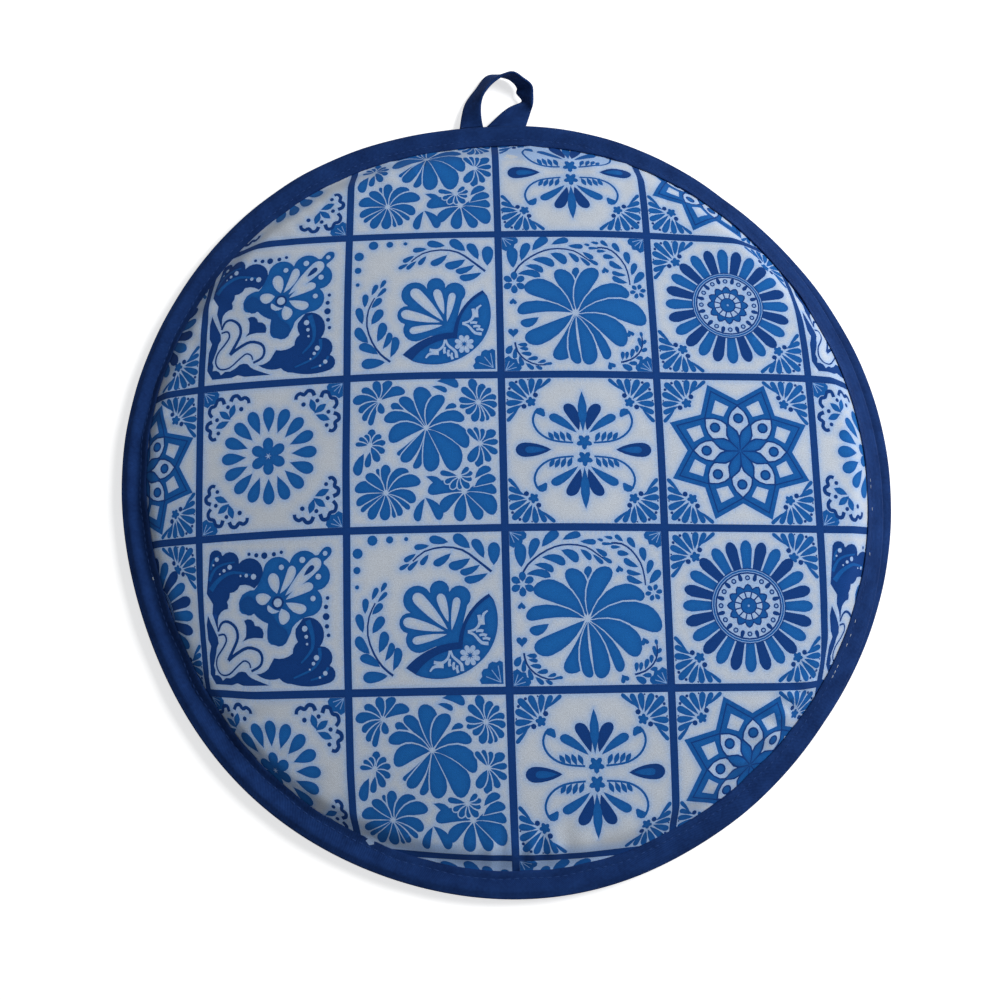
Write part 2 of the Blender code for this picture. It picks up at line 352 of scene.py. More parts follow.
def posy_tile():
    """One big flower with seven smaller ones crowded round it."""
    shapes = flower(3, 30, [
        (-42, 62, 5, 0, -25, 53), (42, 59, 3.6, 12, 27, 53), (-30, 71, 7, -6), (-51, 44, 8, -12),
        (-6, 85, 11, -6), (24, 73, 8.5, 8), (52, 43, 8, 14), (-45, 15, 10.5, -14),
        (-34, -5, 3.2, 4), (-28, -14, 6.8, 4), (-12, -23, 4.6, 8), (9, -27, 10, 4),
        (41, -25, 13, 12), (57, 6, 10.5, 18)])
    shapes += flower(-57, 68, [
        (-24, 80, 6.5, 14), (-42, 94, 5.5, 10), (-62, 95, 5.4), (-80, 85, 5, -4),
        (-92, 69, 6.4, -6), (-84, 54, 4.8, -4), (-78, 42, 4.2, -4), (-69, 35, 3.6, -4),
        (-53, 50, 4.4, -4)])
    shapes += flower(70, 63, [
        (61, 95, 5.5), (76, 88, 5), (86, 82, 3.6), (93, 71, 4.6), (94, 59, 4.6), (91, 45, 4.6),
        (82, 39, 3.4), (75, 37, 3.6), (64, 37, 5), (54, 48, 4.4), (46, 57, 3.2), (45, 67, 4),
        (49, 83, 4.6)])
    shapes += flower(71, 9, [
        (91, 25, 5.6, 6), (94, 11, 3.8), (93, -4, 4), (83, -15, 4.2), (69, -22, 5.2),
        (57, -15, 5.6), (75, 28, 3.4), (65, 30, 3.2), (56, 28, 3.2)])
    shapes += flower(-69, 9, [
        (-66, 30, 5), (-55, 22, 4.2), (-49, 12, 3.8), (-50, -1, 4), (-58, -13, 4.6), (-75, 23, 3.4),
        (-83, 19, 3), (-88, 11, 2.8), (-73, -20, 4, 0, -69, 0), (-86, -30, 6, -6, -77, -2)])
    shapes += flower(-49, -53, [
        (-60, -22, 2.6), (-49, -17, 6), (-21, -24, 7.5, 12), (-5, -38, 8, 12), (-11, -63, 7.5, 8),
        (-19, -74, 3.2, 4), (-30, -82, 5.2, 2), (-38, -85, 2.4), (-51, -88, 6.5), (-70, -86, 6, -4),
        (-81, -76, 3, -4), (-87, -67, 5, -8), (-89, -47, 7.5, -12), (-74, -29, 6, -6)])
    shapes += flower(50, -53, [
        (4, -51, 8.5, -12), (20, -78, 7, -10), (44, -91, 7.5, -4), (70, -89, 7, 4),
        (89, -81, 10, 14), (91, -53, 6.5, 14), (90, -36, 6, 12, 63, -47),
        (84, -23, 5, 12, 64, -36)])
    shapes += flower(44, -33, [
        (20, -28, 3.4), (26, -41, 3), (34, -49, 3.6), (45, -50, 2.8), (56, -49, 4), (60, -38, 3),
        (61, -29, 3), (56, -22, 3)])
    shapes += petals(
        MID, (17, 92, 45, 85, 6, 14), (11, 85, 30, 78, 3.6, 8), (2, -33, 21, -47, 5, 14),
        (0, -61, -10, -90, 5.4, -8), (1, -60, 20, -88, 6.5, 10))
    return shapes


def cross_tile():
    """Two fans of petals back to back, between four hooked scrolls."""
    quarter = petal(DEEP, -5, 25, -21, 60, 7.5, -6) + petal(MID, -8, 22, -42, 45, 5.8, -4)
    quarter += stroke(MID, [
        (-49, 44), (-50, 52), (-57, 53), (-62, 45), (-63, 36), (-59, 26), (-51, 18), (-40, 12.5),
        (-27, 10), (-13, 9)], 1.6, 1.2, per_span=2)
    quarter += petal(MID, -60, 48, -48, 44, 4.6, 30)
    for x0, y0, x1, y1 in (
            (-37, 12, -44, 23), (-30, 11, -37, 24), (-23, 10, -29, 24), (-15, 10, -21, 23)):
        quarter += leaf(MID, x0, y0, x1, y1, 3.2)
    half = leaf(MID, 0, 23, 0, 77, 6.0)
    shapes = in_corners(quarter) + in_corners(half, ((1, 1), (1, -1)))
    for side in (1, -1):
        shapes += petal(DEEP, 41 * side, 0, 86 * side, 0, 9.5)
        shapes += petal(MID, 47 * side, 0, 74 * side, 0, 4.4)
    shapes = [(ink, [(x + 2, y) for x, y in points]) for ink, points in shapes]
    shapes += lobed(MID, 3, 10, 10.5, 5, 0.45, 54) + lobed(MID, 3, -12, 10.5, 5, 0.45, 126)
    return shapes + in_corners(corner_fan())


def scroll_tile():
    """Curled spray with a flower in it, between two scalloped wings."""
    shapes = dots(
        DEEP, (-30, 77, 2.4), (-20, 75, 3), (-9, 74, 4.3), (4, 75, 3), (14, 77, 2.4), (75, 17, 2.5),
        (73, 6, 3), (73, -6, 4.5), (74, -18, 3), (76, -29, 2.5))
    shapes += scalloped(DEEP, [
        (-85, 79, 40), (-67, 77, 38), (-44, 66, 34), (-11, 53, 10), (-23, 33, -12), (-43, 38, 16),
        (-57, 29, 12), (-61, 18, 10), (-60, 9, -20), (-74, -4, 0), (-74, -19, 0), (-82, 4, 0),
        (-81, 16, 0), (-90, 30, 0)])
    shapes += scalloped(DEEP, [
        (51, -6, 30), (65, -42, 34), (77, -66, 34), (78, -86, 8), (27, -87, 12), (11, -80, 12),
        (-20, -74, -10), (-4, -68, 0), (4, -55, -12), (29, -50, 14), (36, -36, 10), (33, -20, 0),
        (43, -7, 0)])
    for line, width in (
            (((-84, 34), (-72, 47), (-52, 55), (-22, 49)), 3.6),
            (((-86, 46), (-78, 60), (-66, 66), (-50, 68)), 2.2),
            (((-84, 60), (-80, 72), (-72, 77)), 1.8),
            (((49, -10), (55, -28), (54, -46), (40, -62)), 3.6),
            (((64, -44), (64, -58), (54, -70), (30, -80)), 2.4),
            (((75, -68), (68, -78), (52, -83)), 1.8)):
        shapes += stroke(MID, line, width, 1.0)
    shapes += dots(
        CLOTH, (-75, 73, 3), (-80, 66, 1.5), (-57, 62, 3.3), (-65, 58, 2.3), (-71, 54, 1.3),
        (-24, 48, 3.8), (-34, 50, 2.5), (-42, 50, 1.5), (45, -20, 3.8), (47, -30, 2.5),
        (48, -39, 1.7), (60, -56, 3.5), (56, -63, 2.4), (51, -70, 1.3), (71, -75, 3),
        (64, -80, 1.6))
    shapes += scalloped(MID, [
        (-11, 53, 36), (25, 63, 30), (59, 71, 34), (70, 60, 36), (62, 27, 34), (51, -5, -10),
        (29, -18, 4), (23, -32, 26), (5, -39, 22), (-5, -30, 4), (-4, -12, 4), (-14, -7, 4),
        (-23, 1, 4), (-36, 1, 24), (-44, 11, 12), (-43, 20, 14), (-34, 29, 8), (-23, 31, -6)])
    shapes += scalloped(SHADED, [
        (-42, 18, 0), (-44, 11, 0), (-36, 2, 24), (-23, 2, 0), (-13, -7, 0), (-3, -12, 0),
        (-5, -30, 4), (5, -39, 22), (23, -32, 16), (17, -18, -10), (4, -4, -8), (-6, 12, 10),
        (-22, 18, 8), (-32, 24, 6)])
    shapes += petal(MID, 56, 56, 79, 80, 6.5)
    shapes += petals(
        CLOTH, (8, 25, 1, 51, 7.5), (12, 25, 30, 59, 6, -6), (19, 22, 65, 66, 8.5),
        (20, 17, 56, 34, 6, 4), (20, 13, 47, 3, 6.5, -6), (14, 6, 17, -14, 7.5, 12),
        (0, 21, -21, 21, 7.5, 10), (12, 3, -5, 10, 3.4, 20))
    shapes += petal(DEEP, 44, 46, 57, 58, 3.4) + dot(DEEP, 9, 13.5, 8.4) + dot(CLOTH, 9, 13.5, 5.6)
    shapes += dots(CLOTH, (14, 58, 3.6), (42, 66, 4), (72, 73, 3.2), (63, 44, 3.9), (56, 17, 3.6))
    shapes += scalloped(DEEP, [
        (-37, -7, 30), (-22, -14, 30), (-11, -30, 0), (-23, -29, -6), (-39, -33, -16),
        (-34, -20, -10)])
    shapes += stroke(DEEP, [
        (-74, -19), (-69, -9), (-60, -7), (-49, -15), (-46, -28), (-52, -42), (-60, -56)], 1.6, 2.2)
    shapes += stroke(DEEP, [
        (-60, -56), (-48, -48), (-32, -41), (-17, -45), (-12, -54), (-15, -64), (-27, -70)], 2.2,
        1.6)
    shapes += stroke(DEEP, [
        (-74, -24), (-65, -23), (-62, -31), (-68, -41), (-78, -53), (-80, -66), (-73, -75),
        (-60, -74), (-46, -63), (-37, -57), (-30, -60), (-28, -66)], 1.3, 1.0)
    shapes += scalloped(DEEP, [
        (-89, 2, 0), (-92, -10, 0), (-91, -30, 0), (-87, -38, 0), (-91, -50, 0), (-92, -75, 0),
        (-84, -88, 0), (-57, -88, 0), (-48, -85, 0), (-39, -88, 0), (-3, -88, 0), (-21, -81, -8),
        (-35, -71, 10), (-46, -71, -6), (-59, -79, 16), (-72, -83, 20), (-84, -76, 12),
        (-85, -64, 0), (-79, -47, -8), (-74, -34, 0), (-75, -26, 0), (-84, -9, 0)])
    return shapes


def spray_leaves(*rows):
    """Leaves of the sprays, which are fuller at their points than a petal is."""
    shapes = []
    for x0, y0, x1, y1, width, *bend in rows:
        shapes += petal(MID, x0, y0, x1, y1, 1.02 * width, *(bend or [0.0]), 0.78)
    return shapes


def fan_tile():
    """Half-open bloom on a banded quarter round, with two leafy sprays."""
    shapes = dots(
        MID, (-67, 87, 6.6), (-45, 87.5, 4.7), (-24, 88, 2.8), (-86, 71, 6.6), (-87, 50, 4.7),
        (-87, 29, 2.8))
    shapes += stroke(DEEP, [
        (-64, 9), (-72, -8), (-74, -30), (-67, -52), (-56, -69), (-43, -80)], 0.9, 1.5, 2)
    shapes += stroke(DEEP, [
        (-16, 60), (-1, 72), (23, 77), (46, 73), (64, 60), (82, 45)], 0.9, 1.6, 2)
    shapes += spray_leaves(
        (-77, -4, -76, 15, 4.2), (-80, -27, -86, -4, 5.2), (-72, -53, -88, -32, 6.4, 6),
        (-59, -69, -84, -56, 6, -6), (-50, -80, -81, -82, 7), (-68, 13, -61, 28, 3.4),
        (-57, 22, -50, 34, 3), (-61, 10, -49, 22, 2.8), (-68, -5, -55, 8, 4.4),
        (-68, -28, -54, -8, 6), (-60, -52, -52, -26, 6.2, -6), (-53, -62, -43, -40, 4.4, -8),
        (-43, -74, -36, -46, 5.4, -8), (-12, 69, -27, 60, 3.4), (5, 79, -14, 77, 3.8),
        (29, 83, 5, 88, 5.4), (56, 75, 36, 92, 6.8), (73, 62, 60, 86, 6.2, -4),
        (85, 53, 86, 82, 7.6), (-20, 57, -33, 50, 2.8), (-9, 61, -22, 49, 3), (4, 68, -6, 55, 3.4),
        (32, 69, 10, 55, 5, 6), (56, 62, 29, 52, 6, 8), (68, 54, 43, 44, 4.6, 8),
        (77, 43, 48, 35, 5, 8))
    shapes += scalloped(MID, [
        (-4, -52, 36), (-24, -29, 48), (-20, -4, 66), (5, 20, 62), (29, 21, 60), (51, 4, 0),
        (39, -42, 0), (10, -46, 0)])
    shapes += petals(
        CLOTH, (25, -31, -18, -39, 5), (22, -27, -29, -14, 6.6), (26, -25, -15, 19, 7.5),
        (27, -16, 17, 19, 5.8), (31, -26, 39, 14, 4.8))
    shapes += scalloped(DEEP, [
        (78, 18, 0), (84, 10, 16), (64, -66, 14), (-14, -80, 0), (-27, -71, 10), (39, -41, 12)])
    shapes += scalloped(MID, [
        (79, 14, 0), (84, 9, 16), (64, -66, 14), (-15, -79, 8), (20, -53, 4), (44, -49, 4),
        (49, -20, 8)])
    spray = []
    for line, width, end in (
            (((51, -28), (58, -26.5), (63, -23), (66, -17), (65, -8)), 1.2, 2.1),
            (((69.5, -20), (69.5, -13), (71, -7), (76, -3)), 2.8, 1.0),
            (((51, -29), (58, -31.5), (63, -37), (68, -42), (76, -43)), 1.3, 2.2),
            (((61, -28), (66, -27), (70, -28)), 1.4, 2.0),
            (((65, -33), (70, -32), (74, -33.5)), 1.4, 2.0),
            (((69, -37), (74, -36.5), (78, -38)), 1.3, 1.8)):
        spray += stroke(CLOTH, line, width, end, 2)
    shapes += spray + [(ink, [(-y, -x) for x, y in points]) for ink, points in spray]
    shapes += ringed(petal(CLOTH, 2, 0, 13, 0, 3.2), 8, 22.5, 53, -57)
    rosette = scalloped(MID, [
        (93, -92, 0), (93, -66, 30), (85, -66, 32), (74, -73, 32), (67, -83, 30), (66, -92, 0)])
    for x, y in ((87, -70), (79, -75), (72, -83)):
        rosette += stroke(PALE, [(90, -90), (x, y)], 0.5, per_span=1)
    return shapes + rosette


def heart(x, y, size, turn=0.0):
    points = []
    for t in [2 * pi * i / 16 for i in range(16)]:
        up = 13 * cos(t) - 5 * cos(2 * t) - 2 * cos(3 * t) - cos(4 * t)
        points.append((-size * sin(t) ** 3, size * up / 16))
    return turned([(MID, points)], turn, x, y)


def bloom_tile():
    """Wide flower of swirling petals under two leafy sprays."""
    shapes = []
    for line in (
            ((-80, 41), (-73, 53), (-57, 66), (-39, 75), (-21, 78), (0, 75), (14, 66), (27, 56)),
            ((32, 80), (45, 79), (57, 71), (68, 55), (72, 39), (73, 27)),
            ((-81, -55), (-78, -68), (-68, -80), (-52, -87), (-38, -86)),
            ((55, -83), (68, -79), (79, -70), (84, -59), (84, -46))):
        shapes += stroke(DEEP, line, 1.3, 0.9, 2)
    shapes += spray_leaves(
        (-81, 50, -82, 80, 7.4), (-70, 60, -60, 86, 6, 4), (-55, 75, -34, 94, 6.2, 6),
        (-29, 84, -6, 91, 4.6, 6), (-7, 82, 13, 81, 3.6), (-75, 41, -45, 38, 5, 12),
        (-65, 53, -41, 45, 4.4, 10), (-55, 62, -26, 54, 5.6, 10), (-31, 71, -10, 57, 6, 10),
        (-7, 72, 6, 59, 3.8, 6), (8, 66, 21, 54, 2.8), (12, 73, 26, 64, 3.4), (20, 63, 32, 55, 2.6),
        (14, 85, 22, 83, 2), (23, 88, 34, 86, 2.2), (47, 82, 37, 90, 3), (62, 74, 53, 87, 4),
        (73, 57, 70, 75, 4.6), (76, 41, 82, 59, 4.2), (78, 29, 92, 46, 5), (36, 79, 20, 79, 2),
        (44, 75, 31, 75, 2.4), (54, 66, 39, 68, 3.6), (65, 50, 47, 60, 4, 6),
        (69, 41, 50, 45, 3.2, 6), (70, 30, 50, 38, 4, 8), (-85, -59, -92, -71, 4.4),
        (-81, -63, -82, -78, 3), (-76, -74, -72, -88, 3.2), (-68, -84, -58, -93, 3),
        (-56, -88, -47, -93, 2.6), (-78, -58, -65, -59, 3), (-76, -63, -64, -65, 2.6),
        (-74, -70, -60, -72, 3), (-66, -79, -52, -77, 3), (-53, -84, -42, -81, 2.4),
        (-46, -86, -34, -85, 2), (57, -80, 58, -68, 2.8), (62, -79, 64, -68, 2.6),
        (68, -77, 72, -64, 3), (76, -70, 77, -59, 2.8), (82, -62, 80, -48, 2.6),
        (82, -68, 90, -63, 2.8), (85, -58, 89, -51, 2.4), (84, -48, 83, -40, 2.2),
        (74, -77, 84, -76, 2.8), (64, -84, 76, -84, 3), (56, -86, 69, -93, 4.2))
    shapes += flower(-1, -14, [
        (3, 51, 4.6, 4, -1, 0), (-22, 48, 11, -8), (28, 50, 11, 8), (-66, 26, 13, -12),
        (71, 17, 12.5, 14), (-77, -10, 8.5, -10), (-73, -29, 6, 10, -49, -20), (92, -24, 15, 14),
        (-67, -53, 11.5, 6), (63, -58, 13.5, 12), (39, -79, 6.5, 8), (-28, -80, 11.5, 10),
        (-1, -86, 6.5, -8), (5, -55, 2.6), (15, -87, 10, 6)], gap=4)
    for i in range(6):
        shapes += turned(petal(MID, 3, 0, 15.5, 0, 4.6), 30 + 60 * i, -80, 29)
        shapes += turned(petal(MID, 2.5, 0, 11, 0, 3), 10 + 60 * i, 83, 18)
    for x, y, size, turn in (
            (-82, 2, 5, 180), (-83, -41, 7, 0), (69, -43, 5.4, 200), (42, -88, 5.8, 210),
            (41, 47, 5, 190)):
        shapes += heart(x, y, size, turn)
    return shapes + in_corners(corner_rosette())


def sunflower_tile():
    """Twenty-four petals in two blues round a ringed middle."""
    shapes = []
    for i in range(24):
        side = [(46, 5.2), (60, 6.5), (72, 7.6), (78, 6.3), (81.2, 4.2), (82.8, 2)]
        points = [*side, (83.2, 0), *((x, -y) for x, y in side[::-1])]
        shapes += turned([(DEEP if i % 2 else MID, points)], 90 + 15 * i, 2, 1.5)
    shapes += discs(2, 1.5, (DEEP, 48), (PALE, 46.6), (MID, 45.6), (PALE, 43.6), (DEEP, 42.6),
                    (CLOTH, 40.5))
    for i in range(12):
        shapes += turned(petal(DEEP, 43, 0, 31.5, 0, 2.8), 15 + 30 * i, 2, 1.5)
        shapes += turned(discs(35.3, 0, (DEEP, 3.5), (PALE, 1.8)), 30 * i, 2, 1.5)
    shapes += lobed(DEEP, 2, 1.5, 28, 12, 0.2) + lobed(MID, 2, 1.5, 26, 12, 0.24)
    shapes += discs(2, 1.5, (DEEP, 18.6), (CLOTH, 17.4))
    shapes += ringed(stroke(DEEP, [(9, 0), (18, 0)], 0.9, per_span=1), 12, 15, 2, 1.5)
    shapes += discs(2, 1.5, (DEEP, 10.6), (MID, 9.2), (PALE, 1.6))
    return in_corners(corner_fan()) + shapes


def on_cloth(column, row, u, v):
    """A place in a tile, in hundredths of half a tile, as metres on the flat cloth."""
    across = column + 0.5 + u / 200
    up = row + 0.5 + v / 200
    c, s = cos(TILE_TURN), sin(TILE_TURN)
    x = TILE_CORNER[0] + TILE * (c * across - s * up)
    y = TILE_CORNER[1] + TILE * (s * across + c * up)
    shares = [(x / PULL_REACH) ** i * (y / PULL_REACH) ** j for i, j, _, _ in PULLED]
    return (x + sum(share * pull[2] for share, pull in zip(shares, PULLED)) / 1000,
            y + sum(share * pull[3] for share, pull in zip(shares, PULLED)) / 1000)


def tile_print():
    """Every shape of the print on the round, the last drawn on top."""
    rows = ((daisy_tile(), posy_tile(), cross_tile(), star_tile()),
            (scroll_tile(), fan_tile(), bloom_tile(), sunflower_tile()))
    printed = []
    for row in range(-TILES_OUT, TILES_OUT):
        for column in range(-TILES_OUT, TILES_OUT):
            for ink, points in rows[row % 2][(column + 2) % 4]:
                placed = [on_cloth(column, row, u, v) for u, v in points]
                if min(hypot(*p) for p in placed) < PATTERN_RADIUS:
                    printed.append((ink, placed))
    half = GROUT / TILE * 100
    stations = range(-LINE_REACH, LINE_REACH + 1, LINE_STEP)
    for i in range(1 - TILES_OUT, TILES_OUT):
        upright = [[on_cloth(i - 0.5, -0.5, side, t) for t in stations] for side in (half, -half)]
        level = [[on_cloth(-0.5, i - 0.5, t, side) for t in stations] for side in (half, -half)]
        printed += [(GRID, sides[0] + sides[1][::-1]) for sides in (upright, level)]
    return printed


def finely(points):
    """The same closed line with no stretch so long that it would cut through the dome."""
    line = []
    for (x0, y0), (x1, y1) in zip(points, [*points[1:], points[0]]):
        parts = max(1, round(hypot(x1 - x0, y1 - y0) / PRINT_STEP))
        line += [(x0 + (x1 - x0) * i / parts, y0 + (y1 - y0) * i / parts) for i in range(parts)]
    return line


def fill_round(points, loops, rim):
    """Triangles over the round, and the last loop that each one lies in."""
    points = [Vector(point) for point in points]
    vertices, _, faces, _, _, sources = delaunay_2d_cdt(points, [], loops, 0, TOUCHING)
    kept = [(face, max(source)) for face, source in zip(faces, sources) if rim in source]
    used = sorted({corner for face, _ in kept for corner in face})
    number = {corner: i for i, corner in enumerate(used)}
    triangles = [[number[corner] for corner in face] for face, _ in kept]
    return np.array([tuple(vertices[i]) for i in used]), triangles, [last for _, last in kept]


def rim_of(points, faces):
    """The corners on the edge of the round, in order."""
    seen = {}
    for face in faces:
        for a, b in zip(face, [*face[1:], face[0]]):
            key = (min(a, b), max(a, b))
            seen[key] = seen.get(key, 0) + 1
    corners = {corner for edge, count in seen.items() if count == 1 for corner in edge}
    return sorted(corners, key=lambda i: atan2(points[i][1], points[i][0]))


def grid_points(step, reach):
    """Even rows of points, each row half a step along from the last."""
    count = int(reach / step) + 1
    rows = []
    for j in range(-count, count + 1):
        for i in range(-count, count + 1):
            x, y = (i + 0.5 * (j % 2)) * step, j * step * ROW_SHARE
            if hypot(x, y) < reach:
                rows.append((x, y))
    return rows


corners = []
for i in range(RIM_STEPS):
    turn = 2 * pi * i / RIM_STEPS
    corners.append((PATTERN_RADIUS * cos(turn), PATTERN_RADIUS * sin(turn)))
loops, inks = [list(range(RIM_STEPS))], [CLOTH]
for ink, points in tile_print():
    points = finely(points if signed_area(points) > 0 else points[::-1])
    loops.append(list(range(len(corners), len(corners) + len(points))))
    corners += points
    inks.append(ink)
corners += grid_points(PRINT_STEP, PATTERN_RADIUS - RIM_CLEARANCE)
print_points, print_faces, sources = fill_round(corners, loops, 0)
face_inks = np.array([inks[s] for s in sources], dtype=np.float32)
print_rim = rim_of(print_points, print_faces)

plain_points = [tuple(print_points[i]) for i in print_rim]
plain_loop = list(range(len(plain_points)))
plain_points += grid_points(PLAIN_STEP, PLAIN_RINGS_FROM - PLAIN_MIDDLE_INSET)
plain_rings = np.arange(PLAIN_RINGS_FROM, PATTERN_RADIUS - PLAIN_RIM_INSET, PLAIN_RINGS_STEP)
for k, reach in enumerate(plain_rings):
    turns = [2 * pi * (i + 0.5 * (k % 2)) / PLAIN_TURNS for i in range(PLAIN_TURNS)]
    plain_points += [(reach * cos(t), reach * sin(t)) for t in turns]
plain_points, plain_faces, _ = fill_round(plain_points, [plain_loop], 0)


def near_edges():
    """1 at the edge of an ink and 0 well away from it, for each corner of the print."""
    low = np.full(len(print_points), np.inf)
    high = np.full(len(print_points), -np.inf)
    for face, ink in zip(print_faces, face_inks):
        for corner in face:
            low[corner] = min(low[corner], ink)
            high[corner] = max(high[corner], ink)
    edge = [i for i in range(len(print_points)) if low[i] != high[i]]
    tree = KDTree(len(edge))
    for i in edge:
        tree.insert((*print_points[i], 0.0), i)
    tree.balance()
    distances = np.array([tree.find((*p, 0.0))[2] for p in print_points])
    return np.exp(-distances / INK_SOAKS).astype(np.float32)


edge_nearness = near_edges()


def made_of(name, vertices, faces):
    """A smooth piece made of these corners and faces."""
    mesh = bpy.data.meshes.new(name)
    mesh.from_pydata(vertices, [], faces)
    mesh.shade_smooth()
    piece = bpy.data.objects.new(name, mesh)
    bpy.context.scene.collection.objects.link(piece)
    return piece


def give(piece, name, domain, values):
    """Numbers or places on a piece's faces or corners, which its material reads by that name."""
    values = np.asarray(values, dtype=np.float32)
    kind, field = ("FLOAT", "value") if values.ndim == 1 else ("FLOAT_VECTOR", "vector")
    piece.data.attributes.new(name, kind, domain).data.foreach_set(field, values.ravel())


def printed_cover(name, outside, inside, mirror):
    """Cover with the print on its outside, from the places of its outer and inner face."""
    flat = print_points * (mirror, 1)
    back = plain_points * (mirror, 1)
    vertices = np.concatenate([outside(flat), inside(back)])
    first = len(flat)
    faces = [tuple(face) for face in print_faces]
    faces += [tuple(first + i for i in reversed(face)) for face in plain_faces]
    count = len(print_rim)
    for i in range(count):
        j = (i + 1) % count
        faces.append((print_rim[j], print_rim[i], first + i, first + j))
    if mirror < 0:
        faces = [face[::-1] for face in faces]
    piece = made_of(name, vertices.tolist(), faces)
    give(piece, "ink", "FACE", np.concatenate([face_inks, np.zeros(len(faces) - len(face_inks))]))
    give(piece, "edge", "POINT", np.concatenate([edge_nearness, np.zeros(len(back))]))
    places = np.concatenate([print_points, plain_points])
    give(piece, "cloth", "POINT", np.column_stack([places, np.zeros(len(places))]))
    return piece


class Socket:
    """A material's socket, so that sums on it add their Math nodes."""

    def __init__(self, finish, socket):
        self.finish = finish
        self.socket = socket

    def reckoned(self, operation, *values):
        inputs = dict(enumerate(values))
        return self.finish.node("ShaderNodeMath", {"operation": operation}, inputs)

    def __add__(self, other):
        return self.reckoned("ADD", self, other)

    def __radd__(self, other):
        return self.reckoned("ADD", other, self)

    def __sub__(self, other):
        return self.reckoned("SUBTRACT", self, other)

    def __mul__(self, other):
        return self.reckoned("MULTIPLY", self, other)

    def __rmul__(self, other):
        return self.reckoned("MULTIPLY", other, self)


class Finish:
    """A material of its own, with a Principled shader to connect to."""

    def __init__(self, name, **constants):
        self.material = bpy.data.materials.new(name)
        self.material.use_nodes = True
        self.tree = self.material.node_tree
        self.shader = self.tree.nodes["Principled BSDF"]
        for socket, value in constants.items():
            self.shader.inputs[socket.replace("_", " ")].default_value = value

    def node(self, kind, settings=None, inputs=None, output=0):
        made = self.tree.nodes.new(kind)
        for setting, value in (settings or {}).items():
            setattr(made, setting, value)
        for key, value in (inputs or {}).items():
            if isinstance(value, Socket):
                self.tree.links.new(value.socket, made.inputs[key])
            else:
                made.inputs[key].default_value = value
        return Socket(self, made.outputs[output])

    def mixed(self, share, first, second):
        return self.node("ShaderNodeMix", {"data_type": "RGBA"}, {0: share, 6: first, 7: second}, 2)

    def attribute(self, name, output="Fac"):
        return self.node("ShaderNodeAttribute", {"attribute_name": name}, output=output)

    def noise(self, place, scale, detail):
        inputs = {"Vector": place, "Scale": scale, "Detail": detail}
        return self.node("ShaderNodeTexNoise", {}, inputs, "Fac")

    def feed(self, socket, value):
        self.tree.links.new(value.socket, self.shader.inputs[socket])

    def bump(self, strength, distance, height):
        inputs = {"Strength": strength, "Distance": distance, "Height": height}
        self.feed("Normal", self.node("ShaderNodeBump", {}, inputs))


def thread_grid(finish, place, pitch):
    """Height of a plain weave, threads over and under each other, from 0 to 1."""
    split = [finish.node("ShaderNodeSeparateXYZ", {}, {0: place}, axis) for axis in (0, 1)]
    swings = [(one * (2 * pi / pitch)).reckoned("SINE", one * (2 * pi / pitch)) for one in split]
    return swings[0] * swings[1] * 0.5 + 0.5


def printed_cotton(name):
    """Canvas with inks that have soaked in, a little paler in the middle of each field."""
    finish = Finish(name, Roughness=0.9, Sheen_Weight=0.05, Sheen_Roughness=0.5,
                    Specular_IOR_Level=0.10)
    place = finish.attribute("cloth", "Vector")
    ink = finish.attribute("ink")
    edge = finish.attribute("edge")
    broad = finish.noise(place, scale=38.0, detail=3.0)
    fibre = finish.noise(place, scale=2100.0, detail=1.5)
    blotch = finish.noise(place, scale=320.0, detail=3.0)
    white = finish.mixed(broad, (0.575, 0.63, 0.705, 1), (0.635, 0.68, 0.745, 1))
    colour = finish.mixed(edge * 0.9, white, (0.34, 0.51, 0.82, 1))
    fields = (  # each ink, with its colour in the middle of a field and at the field's edge
        (MID, (0.012, 0.140, 0.46, 1), (0.008, 0.100, 0.37, 1)),
        (DEEP, (0.007, 0.054, 0.245, 1), (0.006, 0.048, 0.225, 1)),
        (GRID, (0.008, 0.056, 0.245, 1), (0.007, 0.047, 0.21, 1)),
        (PALE, (0.24, 0.41, 0.74, 1), (0.24, 0.41, 0.74, 1)),
        (SHADED, (0.009, 0.085, 0.325, 1), (0.007, 0.070, 0.29, 1)),
    )
    for number, middle, rim in fields:
        inside = ink.reckoned("COMPARE", ink, float(number), 0.25)
        colour = finish.mixed(inside, colour, finish.mixed(edge, middle, rim))
    shade = 0.60 + 0.66 * fibre + 0.14 * blotch
    finish.feed("Base Color", finish.node("ShaderNodeVectorMath", {"operation": "SCALE"},
                                          {0: colour, "Scale": shade}))
    weave = thread_grid(finish, place, pitch=0.0009)
    finish.bump(strength=0.35, distance=0.0002, height=0.6 * weave + 0.4 * fibre)
    return finish.material


cover_finish = printed_cotton("printed_cotton_canvas")


def flat_to_polar(flat):
    return np.hypot(flat[:, 0], flat[:, 1]), np.arctan2(flat[:, 1], flat[:, 0])


def back_face(height):
    def place(flat):
        reach, angle = flat_to_polar(flat)
        radius = reach * CUT_RADIUS / PATTERN_RADIUS
        return points_at(radius, angle, back_underside(radius, angle) + height)
    return place


back_cover = printed_cover("back_cover_cloth", back_face(0.0), back_face(COVER_THICKNESS), -1)
back_cover.data.materials.append(cover_finish)
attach(back_cover, "root")
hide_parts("back_cover")


# The back disc's wadding. A round of white cotton batting, 4 mm thick, pressed flat where the
# stitching of the tape runs through it.
ROUND_STEPS = 336
INNER_RING = 0.012
MIDDLE_RING = 0.110
LAYER_RADII = np.concatenate([
    np.linspace(INNER_RING, MIDDLE_RING, 13),
    np.linspace(MIDDLE_RING, FLAT_RADIUS - SHOULDER_WIDTH, 12)[1:],
    np.linspace(FLAT_RADIUS - SHOULDER_WIDTH, FLAT_RADIUS, 9)[1:],
    np.linspace(FLAT_RADIUS, CUT_RADIUS, 9)[1:]])


